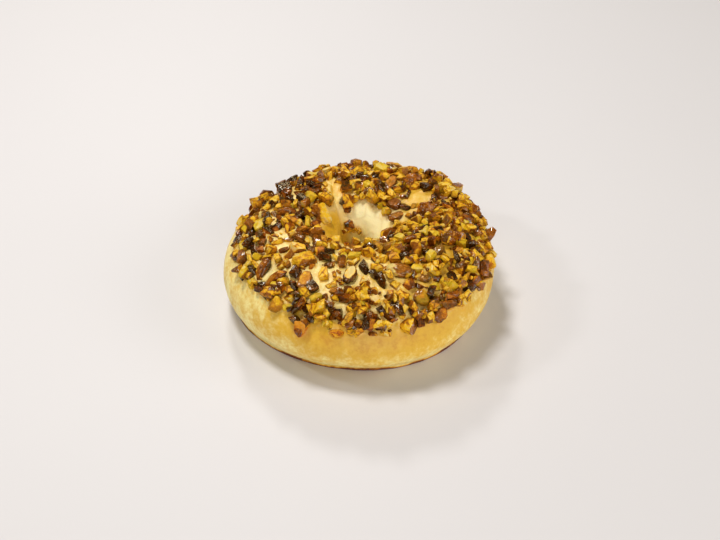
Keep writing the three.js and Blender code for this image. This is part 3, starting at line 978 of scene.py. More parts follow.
@dataclass(frozen=True)
class NutCarver:
    """Carves a piece of nut in its own unit block, then puts it where it lies."""

    middle: float = 0.3
    root: float = -6.0
    sunk: float = -0.75
    least_reach: float = 0.12
    chamfers: int = 3
    plain_size: float = 1.6
    chamfer_depth: Span = (0.66, 0.92)
    chamfer_spread: Triple = (1.0, 1.0, 0.6)
    chamfer_rise: Triple = (0.0, 0.0, 0.35)
    bevel: float = 0.1
    drawn_in: float = 0.55
    # Darker edges: toasting, and painted shade that outlines the pieces.
    edge_tone: float = 0.6
    face_tone: float = 0.6
    skin_rise: Span = (0.6, 1.0)
    chipping: float = 0.05
    chip_pitch: float = 0.7
    pitting: float = 0.03
    pit_pitch: float = 0.3
    # Painted shade low on each piece, near the dough.
    low_shade_span: Span = (-0.1, 0.85)
    low_shade_tone: float = 1.5
    browned_tone: float = 2.0
    piece_tone: float = 0.5
    patch_tone: float = 0.6
    patch_pitch: float = 0.6
    lump_sharpness: float = 9.0
    lump_faces: int = 9
    lump_reach: Span = (0.86, 1.08)
    lump_limit: float = 1.04
    lump_scale: Triple = (1.06, 1.06, 0.76)
    lump_lift: Triple = (0.0, 0.0, 0.27)
    lump_edge: float = 0.5
    lump_tone: float = 0.7
    half_sharpness: float = 15.0
    half_crags: float = 3.2
    cut_slant: float = 0.06
    cut_depth: float = 0.42
    shell_reach: float = 1.05
    lean: float = 0.15
    hollow: float = 0.26
    hollow_span: Span = (0.1, 0.9)
    taper: float = 0.13
    blunt: float = 0.05
    cut_scale: Triple = (1.04, 1.0, 0.9)
    cut_lift: Triple = (0.0, 0.0, 0.5)
    worn: float = 0.3
    worn_pitch: float = 0.5
    worn_tone: float = 3.0
    rim_tone: float = 0.6
    rim_span: Span = (0.5, 1.0)
    rim_worn: float = 0.5
    bare_span: Span = (0.15, 0.6)
    ring_span: Span = (0.74, 0.9)
    ring_worn: float = 0.3
    wrinkle: float = 0.09
    wrinkle_crags: float = 0.6
    wrinkle_stretch: Triple = (0.7, 1.6, 1.2)
    wrinkle_pitches: Span = (0.42, 0.2)
    wrinkle_span: Span = (-0.6, 1.0)
    break_spread: float = 0.3
    break_reach: Span = (0.78, 0.95)
    break_span: Span = (0.4, 0.7)
    skin_scale: Triple = (1.08, 0.94, 0.74)
    skin_lift: Triple = (0.0, 0.0, 0.26)
    streak_stretch: Triple = (0.5, 2.4, 2.0)
    streak_pitch: float = 0.34
    streak_worn: float = 0.4
    bared_blur: float = 0.2
    # Painted shade at the foot of a skin-up half.
    foot_shade_span: Span = (0.05, 0.45)
    skin_tones: tuple[float, float, float, float] = (7.0, 2.6, 3.6, 3.0)
    skin_tone_shift: float = -3.0

    def carve(self, piece: NutPiece, ball: Ball) -> CarvedNut:
        """Surface of one piece.

        Args:
            piece: The piece.
            ball: Directions and triangles to carve a rounded one from.

        Returns:
            Its points and what they show.
        """
        chance = np.random.default_rng(piece.key)
        shape = piece.look.value.shape
        if shape is NutShape.CHOPPED:
            local, faces, skin, edge, facets = self._block(piece, chance)
        else:
            carvers = {
                NutShape.LUMP: self._lump,
                NutShape.CUT_HALF: self._cut_half,
                NutShape.SKIN_HALF: self._skin_half,
            }
            local, skin, edge, facets = carvers[shape](piece, ball.directions, chance)
            faces = ball.triangles.tolist()
        points = piece.origin + (local * piece.size) @ piece.turn.T
        # Painted shade: each piece is darker towards the dough it sits on.
        depth = 1.0 - ease(local[:, 2], *self.low_shade_span)
        browned = local @ unit(chance.normal(0.0, 1.0, 3))
        patches = ripple(local, self.patch_pitch, piece.key) * self.patch_tone
        tone = patches + chance.normal(0.0, self.piece_tone) + facets
        tone = tone + self.low_shade_tone * depth + self.browned_tone * browned
        return CarvedNut(points, faces, np.clip(skin, 0.0, 1.0), edge, tone)

    def _pull(self, directions: Array, normals: Array, offsets: Array) -> tuple[Array, Array]:
        """Distance to the surface that a set of flat faces encloses, with its edges rounded.

        Args:
            directions: Unit vectors from the middle.
            normals: Outward direction of each face.
            offsets: Distance of each face from the middle.

        Returns:
            The distances, and each face's share at each direction.
        """
        pull = np.maximum(directions @ normals.T / offsets, 0.0) ** self.lump_sharpness
        total = pull.sum(axis=1)
        return total ** (-1.0 / self.lump_sharpness), pull / total[:, None]

    def _chips(self, directions: Array, key: float, amount: float = 1.0) -> Array:
        """Uneven breaks of the surface as a factor on its distance."""
        broad = self.chipping * ripple(directions, self.chip_pitch, key)
        fine = self.pitting * ripple(directions, self.pit_pitch, key + 0.5)
        return 1.0 + amount * (broad + fine)

    def _skin_faces(self, normals: Array, look: NutLook, chance: Chance) -> Array:
        """Which faces keep their skin.

        Args:
            normals: Outward direction of each face.
            look: The piece's look.
            chance: Numbers that turn the skin's middle.

        Returns:
            One for a face with skin and zero for a bare one.
        """
        around = chance.uniform(0.0, FULL_TURN)
        rise = math.radians(90.0) * look.skin_up * chance.uniform(*self.skin_rise)
        flat = math.cos(rise)
        middle = np.array([flat * math.cos(around), flat * math.sin(around), math.sin(rise)])
        return (normals @ middle > math.cos(look.cover * math.pi)).astype(float)

    def _cuts(self, piece: NutPiece, chance: Chance) -> tuple[Array, Array]:
        """The flat cuts of a block: its base, its uneven top, its tapering sides and its chamfers.

        Args:
            piece: The piece.
            chance: Numbers for the chamfers.

        Returns:
            The cuts' outward directions and their distances from the middle.
        """
        signs = np.array([[-1.0, -1.0], [1.0, -1.0], [1.0, 1.0], [-1.0, 1.0]])
        order = [0, 1, 3, 2]
        rim = np.column_stack([signs * piece.rim_reach[order, None], piece.rim_height[order]])
        centre = np.array([0.0, 0.0, self.middle])
        top, root = np.array([0.0, 0.0, piece.peak]), np.array([0.0, 0.0, self.root])
        normals = [np.array([0.0, 0.0, -1.0])]
        offsets = [self.middle - self.sunk]
        for corner, following in zip(rim, np.roll(rim, -1, axis=0)):
            for end in (top, root):
                normal = unit(np.cross(following - corner, end - corner))
                normal = normal if normal @ (corner - centre) > 0.0 else -normal
                normals.append(normal)
                offsets.append(float(normal @ (corner - centre)))
        faces, reaches = np.array(normals), np.maximum(np.array(offsets), self.least_reach)
        for _ in range(self.chamfers + int(max(0.0, piece.size[0] - self.plain_size))):
            slant = unit(chance.normal(0.0, 1.0, 3) * self.chamfer_spread + self.chamfer_rise)
            depth = 1.0 / np.maximum(faces @ slant / reaches, 1e-3).max()
            faces = np.vstack([faces, slant])
            reaches = np.append(reaches, depth * chance.uniform(*self.chamfer_depth))
        return faces, reaches

    def _block(self, piece: NutPiece, chance: Chance) -> tuple[Array, list, Array, Array, Array]:
        """An angular block with an uneven top on four sides that taper to a root.

        Args:
            piece: The piece.
            chance: Numbers for its cuts and its skin.

        Returns:
            Its points in the unit block, its faces, then the points' skin, nearness to an edge and tone.
        """
        faces, reaches = self._cuts(piece, chance)
        block = CutBlock.between(faces, reaches, self.bevel, self.drawn_in)
        skin = self._skin_faces(faces, piece.look.value, chance)[block.owners]
        tone = chance.normal(0.0, self.face_tone, len(faces))[block.owners]
        local = block.points * self._chips(block.points, piece.key)[:, None]
        return local + [0.0, 0.0, self.middle], block.faces, skin, self.edge_tone * block.is_rim, tone

    def _lump(self, piece: NutPiece, directions: Array, chance: Chance) -> tuple[Array, ...]:
        """A rounded lump with a few soft faces.

        Args:
            piece: The piece.
            directions: Unit vectors from its middle.
            chance: Numbers for its faces and its skin.

        Returns:
            Its points in the unit block, their share of skin, nearness to an edge and tone.
        """
        faces = unit(chance.normal(0.0, 1.0, (self.lump_faces, 3)))
        reaches = chance.uniform(*self.lump_reach, self.lump_faces)
        faces = np.vstack([faces, np.eye(3), -np.eye(3)])
        reaches = np.append(reaches, [self.lump_limit] * 6)
        radius, share = self._pull(directions, faces, reaches)
        radius = radius * self._chips(directions, piece.key, piece.look.value.crags)
        skin = share @ self._skin_faces(faces, piece.look.value, chance)
        local = directions * radius[:, None] * self.lump_scale + self.lump_lift
        tone = share @ chance.normal(0.0, self.lump_tone, len(faces))
        return local, skin, self.lump_edge * (1.0 - share.max(axis=1)), tone

    def _cut_half(self, piece: NutPiece, directions: Array, chance: Chance) -> tuple[Array, ...]:
        """Half a kernel with its flat cut face up and a rim of skin round it.

        Args:
            piece: The piece.
            directions: Unit vectors from its middle.
            chance: Numbers for the slant of the cut.

        Returns:
            Its points in the unit block, their share of skin, nearness to the rim and tone.
        """
        towards_near_side = piece.turn.T @ [0.0, -1.0, 0.0]
        level = np.array([*chance.normal(0.0, self.cut_slant, 2), 1.0])
        slant = unit(level + self.lean * towards_near_side)
        cut = np.maximum(directions @ slant / self.cut_depth, 0.0) ** self.half_sharpness
        shell = np.full(len(directions), (1.0 / self.shell_reach) ** self.half_sharpness)
        total = cut + shell
        share = cut / total
        inward = 1.0 - np.hypot(directions[:, 0], directions[:, 1])
        radius = total ** (-1.0 / self.half_sharpness)
        radius = radius * (1.0 - self.hollow * share * ease(inward, *self.hollow_span))
        radius = radius * (1.0 - self.taper * directions[:, 0] - self.blunt * np.abs(directions[:, 0]))
        radius = radius * self._chips(directions, piece.key, self.half_crags)
        local = directions * radius[:, None] * self.cut_scale + self.cut_lift
        worn = self.worn * ripple(directions, self.worn_pitch, piece.key + 0.7)
        outward = np.hypot(local[:, 0], local[:, 1])
        rim = self.rim_tone * ease(outward + self.rim_worn * worn, *self.rim_span)
        ring = ease(outward + self.ring_worn * worn, *self.ring_span)
        skin = np.maximum(1.0 - ease(share + worn, *self.bare_span), ring)
        return local, skin, rim, self.worn_tone * worn

    def _skin_half(self, piece: NutPiece, directions: Array, chance: Chance) -> tuple[Array, ...]:
        """Half a kernel that lies on its cut face, with its wrinkled skin up.

        Args:
            piece: The piece.
            directions: Unit vectors from its middle.
            chance: Numbers for the break at one end.

        Returns:
            Its points in the unit block, their share of skin, nearness to an edge and tone.
        """
        stretched = directions * self.wrinkle_stretch
        broad, fine = self.wrinkle_pitches
        folds = np.abs(ripple(stretched, broad, piece.key))
        folds = folds + 0.5 * np.abs(ripple(stretched, fine, piece.key + 0.3))
        shell = (1.0 + self.wrinkle * mix(*self.wrinkle_span, folds))
        shell = shell * self._chips(directions, piece.key, self.wrinkle_crags)
        end = unit(np.array([chance.choice([-1.0, 1.0]), *chance.normal(0.0, self.break_spread, 2)]))
        reach = chance.uniform(*self.break_reach)
        broken = np.maximum(directions @ end / reach, 0.0) ** self.half_sharpness
        whole = shell ** (-self.half_sharpness)
        share = broken / (broken + whole)
        radius = (broken + whole) ** (-1.0 / self.half_sharpness)
        local = directions * radius[:, None] * self.skin_scale + self.skin_lift
        streaks = ripple(directions * self.streak_stretch, self.streak_pitch, piece.key + 0.6)
        # Painted shade: the skin is darker at its foot, near the dough.
        foot = 1.0 - ease(local[:, 2], *self.foot_shade_span)
        across = (directions @ piece.turn.T)[:, 0]
        bared = 1.0 - 2.0 * piece.look.value.cover
        worn = ease(across + self.streak_worn * streaks, bared - self.bared_blur, bared + self.bared_blur)
        skin = (1.0 - ease(share, *self.break_span)) * worn
        tone = np.stack([folds, streaks, across, foot], axis=1) @ np.array(self.skin_tones)
        return local, skin, 2.0 * share * (1.0 - share), tone + self.skin_tone_shift


class Sketch:
    """Places nodes in a shader tree and joins them."""

    def __init__(self, tree: bpy.types.NodeTree) -> None:
        """Starts with the nodes that the tree already holds."""
        self.tree = tree

    def node(self, kind: str, **settings: object) -> bpy.types.Node:
        """New node.

        Args:
            kind: Its type name.
            settings: Its properties.

        Returns:
            The node.
        """
        made = self.tree.nodes.new(kind)
        for name, value in settings.items():
            setattr(made, name, value)
        return made

    def feed(self, socket: bpy.types.NodeSocket, value: object) -> None:
        """Gives an input a joined output or a plain value."""
        if isinstance(value, bpy.types.NodeSocket):
            self.tree.links.new(value, socket)
        elif isinstance(value, tuple) and len(value) == 3 and socket.type == "RGBA":
            socket.default_value = (*value, 1.0)
        else:
            socket.default_value = value

    def sum(self, operation: str, first: object, second: object,
            clamp: bool = False) -> bpy.types.NodeSocket:
        """Result of a sum on two values.

        Args:
            operation: Blender's name of the operation.
            first: Socket or number.
            second: Socket or number.
            clamp: Whether the result stays between 0 and 1.

        Returns:
            The result's socket.
        """
        made = self.node("ShaderNodeMath", operation=operation, use_clamp=clamp)
        self.feed(made.inputs[0], first)
        self.feed(made.inputs[1], second)
        return made.outputs[0]

    def blend(self, share: object, first: object, second: object) -> bpy.types.NodeSocket:
        """Mix of two colours.

        Args:
            share: Share of the second.
            first: Socket or colour.
            second: Socket or colour.

        Returns:
            The mixed colour's socket.
        """
        made = self.node("ShaderNodeMix", data_type="RGBA", clamp_factor=True)
        self.feed(made.inputs["Factor"], share)
        self.feed(made.inputs[6], first)
        self.feed(made.inputs[7], second)
        return made.outputs[2]

    def span(self, value: object, low: float, high: float, out_low: float = 0.0,
             out_high: float = 1.0) -> bpy.types.NodeSocket:
        """Value moved from one span to another and held inside it.

        Args:
            value: Socket or number.
            low: Start of the span it comes from.
            high: End of it.
            out_low: Start of the span it goes to.
            out_high: End of it.

        Returns:
            The moved value's socket.
        """
        made = self.node("ShaderNodeMapRange", interpolation_type="SMOOTHSTEP")
        for socket, number in zip(made.inputs, (value, low, high, out_low, out_high)):
            self.feed(socket, number)
        return made.outputs[0]

    def swing(self, share: object, amount: float) -> bpy.types.NodeSocket:
        """Share between 0 and 1 as a value that swings by an amount to both sides of zero."""
        return self.span(share, 0.0, 1.0, -amount, amount)

    def mark(self, name: str) -> bpy.types.NodeSocket:
        """What each point of the mesh carries under a name."""
        return self.node("ShaderNodeAttribute", attribute_name=name).outputs["Fac"]

    def group(self, made: bpy.types.NodeTree, **values: object) -> bpy.types.Node:
        """Shared effect with its own values.

        Args:
            made: The effect.
            values: Its inputs by name.

        Returns:
            The group's node.
        """
        placed = self.node("ShaderNodeGroup", node_tree=made)
        for name, value in values.items():
            self.feed(placed.inputs[name], value)
        return placed

    def relief(self, grain: bpy.types.NodeTree, sizes: Triple, strength: float,
               height: float) -> bpy.types.NodeSocket:
        """Normal of a surface with a fine grain.

        Args:
            grain: The shared grain effect.
            sizes: Coarse size, fine size and share of the fine grain.
            strength: How much of it shows.
            height: Its height in metres.

        Returns:
            The normal's socket.
        """
        names = ("Coarse Size", "Fine Size", "Fine Share")
        placed = self.group(grain, **dict(zip(names, sizes)))
        bump = self.node("ShaderNodeBump")
        bump.inputs["Strength"].default_value = strength
        bump.inputs["Distance"].default_value = height
        self.feed(bump.inputs["Height"], placed.outputs["Height"])
        return bump.outputs["Normal"]


def new_material(name: str) -> tuple[bpy.types.Material, Sketch, bpy.types.ShaderNode]:
    """Empty material with its sketch and its shader."""
    made = bpy.data.materials.new(name)
    made.use_nodes = True
    return made, Sketch(made.node_tree), made.node_tree.nodes["Principled BSDF"]


def new_group(name: str, inputs: dict[str, str], outputs: dict[str, str]) -> tuple[Sketch, dict, dict]:
    """Empty shared effect.

    Args:
        name: Its name.
        inputs: Type of each input by name.
        outputs: Type of each output by name.

    Returns:
        The sketch of its tree, its input sockets and its output sockets by name.
    """
    tree = bpy.data.node_groups.new(name, "ShaderNodeTree")
    for label, kind in inputs.items():
        tree.interface.new_socket(label, in_out="INPUT", socket_type=kind)
    for label, kind in outputs.items():
        tree.interface.new_socket(label, in_out="OUTPUT", socket_type=kind)
    sketch = Sketch(tree)
    start, end = sketch.node("NodeGroupInput"), sketch.node("NodeGroupOutput")
    return sketch, {n: start.outputs[n] for n in inputs}, {n: end.inputs[n] for n in outputs}


class Effects:
    """The effects that the finishes share, each built once."""

    def __init__(self) -> None:
        """Builds them."""
        self.mottle = self._mottle()
        self.toast = self._toast()
        self.grain = self._grain()

    def _mottle(self) -> bpy.types.NodeTree:
        """Soft uneven patches of a size, as a share between 0 and 1."""
        sketch, given, wanted = new_group(
            "mottle", {"Size": "NodeSocketFloat", "Contrast": "NodeSocketFloat"}, {"Share": "NodeSocketFloat"}
        )
        place = sketch.node("ShaderNodeTexCoord").outputs["Object"]
        patches = sketch.node("ShaderNodeTexNoise")
        patches.inputs["Detail"].default_value = 4.0
        patches.inputs["Roughness"].default_value = 0.58
        sketch.feed(patches.inputs["Vector"], place)
        sketch.feed(patches.inputs["Scale"], sketch.sum("DIVIDE", 1.0, given["Size"]))
        centred = sketch.sum("SUBTRACT", patches.outputs["Fac"], 0.5)
        spread = sketch.sum("MULTIPLY", centred, given["Contrast"])
        sketch.feed(wanted["Share"], sketch.sum("ADD", spread, 0.5, clamp=True))
        return sketch.tree

    def _toast(self) -> bpy.types.NodeTree:
        """Colour on the way from pale over golden and brown to dark, by how far it was toasted."""
        names = ("Pale", "Golden", "Brown", "Dark")
        inputs = {**{name: "NodeSocketColor" for name in names}, "Toast": "NodeSocketFloat"}
        sketch, given, wanted = new_group("toast", inputs, {"Colour": "NodeSocketColor"})
        toast = given["Toast"]
        golden = sketch.blend(sketch.span(toast, 0.0, 0.33), given["Pale"], given["Golden"])
        brown = sketch.blend(sketch.span(toast, 0.3, 0.68), golden, given["Brown"])
        dark = sketch.blend(sketch.span(toast, 0.64, 1.0), brown, given["Dark"])
        sketch.feed(wanted["Colour"], dark)
        return sketch.tree

    def _grain(self) -> bpy.types.NodeTree:
        """Height of a fine grain with a coarser unevenness under it."""
        names = ("Coarse Size", "Fine Size", "Fine Share")
        inputs = {name: "NodeSocketFloat" for name in names}
        sketch, given, wanted = new_group("grain", inputs, {"Height": "NodeSocketFloat"})
        place = sketch.node("ShaderNodeTexCoord").outputs["Object"]
        heights = []
        for name in names[:2]:
            bumps = sketch.node("ShaderNodeTexNoise")
            bumps.inputs["Detail"].default_value = 3.0
            sketch.feed(bumps.inputs["Vector"], place)
            sketch.feed(bumps.inputs["Scale"], sketch.sum("DIVIDE", 1.0, given[name]))
            heights.append(bumps.outputs["Fac"])
        fine = sketch.sum("MULTIPLY", heights[1], given["Fine Share"])
        sketch.feed(wanted["Height"], sketch.sum("ADD", heights[0], fine))
        return sketch.tree


@dataclass(frozen=True)
class CrustFinish:
    """Finish of the baked dough: cream where the nuts kept the heat off, golden on its sides."""

    cream: Colour = paint(241, 225, 150)
    golden: Colour = paint(215, 168, 46)
    brown: Colour = paint(186, 116, 24)
    dark: Colour = paint(96, 36, 8)
    charred: Colour = paint(92, 34, 8)
    rust: Colour = paint(206, 116, 40)
    # Colour of the oil soaked in round the nuts, which also stands for painted shade between them.
    oil_and_shade_tint: Colour = paint(214, 162, 36)
    # Near-white tint that lifts the hole's far wall: painted light.
    hole_light_tint: Colour = paint(255, 244, 192)
    # Darker gold of painted shade on the hole's left wall, also the colour of the yellow veins in its far
    # wall.
    left_wall_shade_and_veins: Colour = paint(199, 150, 16)
    patches: tuple[tuple[float, float, float], ...] = (
        (0.011, 1.8, 0.07),
        (0.0042, 1.8, 0.08),
        (0.0014, 1.6, 0.08),
    )
    oil_and_shade_span: tuple[float, float, float, float] = (0.2, 0.9, 0.35, 0.9)
    scorch_rag: float = 0.4
    scorch_span: Span = (0.4, 0.66)
    roughness: Span = (0.45, 0.59)
    oil_shine: float = -0.14
    grain: Triple = (0.0016, 0.0004, 0.35)
    grain_strength: float = 0.4
    grain_height: float = 0.0004
    softness: float = 0.12
    soft_reach: Triple = (0.0022, 0.0013, 0.0006)

    def material(self, effects: Effects) -> bpy.types.Material:
        """Material of the dough.

        Args:
            effects: The shared effects.

        Returns:
            The material.
        """
        made, sketch, shader = new_material("baked_dough")
        toast = sketch.mark("bake")
        for size, contrast, amount in self.patches:
            patch = sketch.group(effects.mottle, Size=size, Contrast=contrast).outputs["Share"]
            toast = sketch.sum("ADD", toast, sketch.swing(patch, amount))
        colours = {"Pale": self.cream, "Golden": self.golden, "Brown": self.brown, "Dark": self.dark}
        baked = sketch.group(effects.toast, **colours, Toast=toast).outputs["Colour"]
        # Painted light: the hole's far wall is lifted towards a near-white tint, as if more light reached
        # into the hole.
        baked = sketch.blend(sketch.mark("hole_painted_light"), baked, self.hole_light_tint)
        # Painted shade: the hole's left wall, turned away from the lamps, is darkened to gold; the same tint
        # draws the yellow veins of the far wall.
        baked = sketch.blend(sketch.mark("left_wall_shade_and_veins"), baked, self.left_wall_shade_and_veins)
        # Painted shade: next to each nut the dough turns towards the oil colour, for the oil soaked in and
        # for the shade between the nuts.
        oily = sketch.sum("MULTIPLY", sketch.mark("oil_and_shade"), sketch.span(patch, *self.oil_and_shade_span))
        stained = sketch.blend(sketch.mark("stain"), sketch.blend(oily, baked, self.oil_and_shade_tint), self.rust)
        ragged = sketch.sum("ADD", sketch.mark("scorch"), sketch.swing(patch, self.scorch_rag))
        scorched = sketch.span(ragged, *self.scorch_span)
        sketch.feed(shader.inputs["Base Color"], sketch.blend(scorched, stained, self.charred))
        shine = sketch.sum("MULTIPLY", sketch.mark("oil_and_shade"), self.oil_shine)
        rough = sketch.sum("ADD", sketch.span(patch, 0.0, 1.0, *self.roughness), shine)
        sketch.feed(shader.inputs["Roughness"], rough)
        normal = sketch.relief(effects.grain, self.grain, self.grain_strength, self.grain_height)
        sketch.feed(shader.inputs["Normal"], normal)
        shader.inputs["Subsurface Weight"].default_value = self.softness
        shader.inputs["Subsurface Radius"].default_value = self.soft_reach
        shader.inputs["Subsurface Scale"].default_value = 1.0
        return made


@dataclass(frozen=True)
class NutFinish:
    """Finish of the toasted nuts: oily flesh from pale to brown under a thin dark skin."""

    pale: Colour = paint(212, 186, 118)
    golden: Colour = paint(224, 172, 22)
    brown: Colour = paint(178, 99, 10)
    dark: Colour = paint(112, 50, 2)
    green: Colour = paint(188, 166, 20)
    olive_skin: Colour = paint(146, 114, 48)
    red: Colour = paint(184, 90, 26)
    light_skin: Colour = paint(172, 104, 20)
    brown_skin: Colour = paint(134, 68, 3)
    dark_skin: Colour = paint(92, 40, 0)
    black_skin: Colour = paint(46, 20, 0)
    glow: Colour = (1.0, 0.76, 0.36)
    patch: Triple = (0.0019, 1.7, 0.2)
    speck: Triple = (0.0006, 1.6, 0.16)
    edge_span: Span = (0.1, 0.6)
    edge_toast_and_shade: tuple[float, float, float, float] = (0.3, 0.7, 0.1, 0.54)
    green_span: tuple[float, float, float, float] = (0.1, 0.9, 0.35, 1.0)
    olive_span: tuple[float, float, float, float] = (0.2, 0.8, 0.9, 0.2)
    skin_uneven: float = 1.6
    skin_rag: float = 0.12
    skin_span: Span = (0.36, 0.64)
    speck_roughness: tuple[float, float, float, float] = (0.3, 0.7, 0.12, 0.3)
    flesh_roughness: Span = (0.3, -0.04)
    drop_span: Span = (0.52, 0.62)
    drop_share: Span = (0.06, 1.0)
    drop_roughness: float = 0.11
    drop_ior: float = 1.6
    specular: float = 0.42
    grain: Triple = (0.0009, 0.0003, 0.4)
    grain_strength: float = 0.5
    grain_height: float = 0.0004
    softness: float = 0.2
    soft_reach: Triple = (0.0011, 0.0006, 0.0002)

    def material(self, effects: Effects) -> bpy.types.Material:
        """Material of the nuts.

        Args:
            effects: The shared effects.

        Returns:
            The material.
        """
        made, sketch, shader = new_material("toasted_nut")
        patch = sketch.group(effects.mottle, Size=self.patch[0], Contrast=self.patch[1]).outputs["Share"]
        speck = sketch.group(effects.mottle, Size=self.speck[0], Contrast=self.speck[1]).outputs["Share"]
        uneven = sketch.sum("ADD", sketch.swing(patch, self.patch[2]), sketch.swing(speck, self.speck[2]))
        flesh = self._flesh(sketch, effects, patch, uneven)
        skin = self._skin(sketch, effects, speck, uneven)
        torn = sketch.sum("ADD", sketch.mark("skin"), sketch.swing(speck, self.skin_rag))
        covered = sketch.span(torn, *self.skin_span)
        sketch.feed(shader.inputs["Base Color"], sketch.blend(covered, flesh, skin))
        matt = sketch.span(covered, 0.0, 1.0, *self.flesh_roughness)
        rough = sketch.sum("ADD", sketch.span(speck, *self.speck_roughness), matt)
        sketch.feed(shader.inputs["Roughness"], rough)
        oiled = sketch.span(covered, 0.0, 1.0, *self.drop_share)
        drops = sketch.sum("MULTIPLY", sketch.span(speck, *self.drop_span), oiled)
        sketch.feed(shader.inputs["Coat Weight"], drops)
        normal = sketch.relief(effects.grain, self.grain, self.grain_strength, self.grain_height)
        sketch.feed(shader.inputs["Normal"], normal)
        shader.inputs["Coat Roughness"].default_value = self.drop_roughness
        shader.inputs["Coat IOR"].default_value = self.drop_ior
        shader.inputs["Specular IOR Level"].default_value = self.specular
        shader.inputs["Specular Tint"].default_value = (*self.glow, 1.0)
        shader.inputs["Subsurface Weight"].default_value = self.softness
        shader.inputs["Subsurface Radius"].default_value = self.soft_reach
        shader.inputs["Subsurface Scale"].default_value = 1.0
        return made

    def _flesh(self, sketch: Sketch, effects: Effects, patch: bpy.types.NodeSocket,
               uneven: bpy.types.NodeSocket) -> bpy.types.NodeSocket:
        """Colour of the bare flesh, browner along its edges, partly from toasting and partly as painted shade
        round each piece.

        Args:
            sketch: The material's sketch.
            effects: The shared effects.
            patch: Share of the larger patches.
            uneven: Ups and downs of the toasting.

        Returns:
            The colour's socket.
        """
        # Edges are browned both for toasting and as painted shade that outlines each piece.
        near_edge = sketch.span(sketch.mark("edge"), *self.edge_span)
        edge = sketch.sum("MULTIPLY", near_edge, sketch.span(patch, *self.edge_toast_and_shade))
        toast = sketch.sum("ADD", sketch.sum("ADD", sketch.mark("toast"), edge), uneven)
        colours = {"Pale": self.pale, "Golden": self.golden, "Brown": self.brown, "Dark": self.dark}
        flesh = sketch.group(effects.toast, **colours, Toast=toast).outputs["Colour"]
        greened = sketch.sum("MULTIPLY", sketch.mark("green"), sketch.span(patch, *self.green_span))
        flesh = sketch.blend(greened, flesh, self.green)
        return sketch.blend(sketch.mark("red"), flesh, self.red)

    def _skin(self, sketch: Sketch, effects: Effects, speck: bpy.types.NodeSocket,
              uneven: bpy.types.NodeSocket) -> bpy.types.NodeSocket:
        """Colour of the thin skin, from light brown to black.

        Args:
            sketch: The material's sketch.
            effects: The shared effects.
            speck: Share of the small specks.
            uneven: Ups and downs of the toasting.

        Returns:
            The colour's socket.
        """
        tones = (self.light_skin, self.brown_skin, self.dark_skin, self.black_skin)
        colours = dict(zip(("Pale", "Golden", "Brown", "Dark"), tones))
        browned = sketch.sum("ADD", sketch.mark("burnt"), sketch.sum("MULTIPLY", uneven, self.skin_uneven))
        skin = sketch.group(effects.toast, **colours, Toast=browned).outputs["Colour"]
        dulled = sketch.sum("MULTIPLY", sketch.mark("green"), sketch.span(speck, *self.olive_span))
        return sketch.blend(dulled, skin, self.olive_skin)


@dataclass(frozen=True)
class FloorFinish:
    """Finish of the plain pale floor."""

    pale: Colour = paint(208, 204, 203)
    shade: Colour = paint(203, 199, 199)
    cloud_size: float = 0.3
    roughness: float = 0.6

    def material(self, effects: Effects) -> bpy.types.Material:
        """Material of the floor.

        Args:
            effects: The shared effects.

        Returns:
            The material.
        """
        made, sketch, shader = new_material("pale_floor")
        cloud = sketch.group(effects.mottle, Size=self.cloud_size, Contrast=1.0).outputs["Share"]
        sketch.feed(shader.inputs["Base Color"], sketch.blend(cloud, self.pale, self.shade))
        shader.inputs["Roughness"].default_value = self.roughness
        return made


def make_piece(name: str, points: Array, faces: list[list[int]], marks: dict[str, Array],
               material: bpy.types.Material, is_smooth: bool = True) -> bpy.types.Object:
    """Mesh object from arrays.

    Args:
        name: Its name.
        points: Places in millimetres, one a row.
        faces: Row numbers of each face's corners.
        marks: What each point carries, by name.
        material: Its material.
        is_smooth: Whether light runs smoothly over its edges.

    Returns:
        The object, linked to the scene.
    """
    mesh = bpy.data.meshes.new(name)
    mesh.from_pydata((points * MILLIMETRE).tolist(), [], faces)
    for label, values in marks.items():
        stored = mesh.attributes.new(label, "FLOAT", "POINT")
        stored.data.foreach_set("value", np.ascontiguousarray(values, dtype=np.float32))
    if is_smooth:
        mesh.shade_smooth()
    mesh.materials.append(material)
    made = bpy.data.objects.new(name, mesh)
    bpy.context.scene.collection.objects.link(made)
    return made


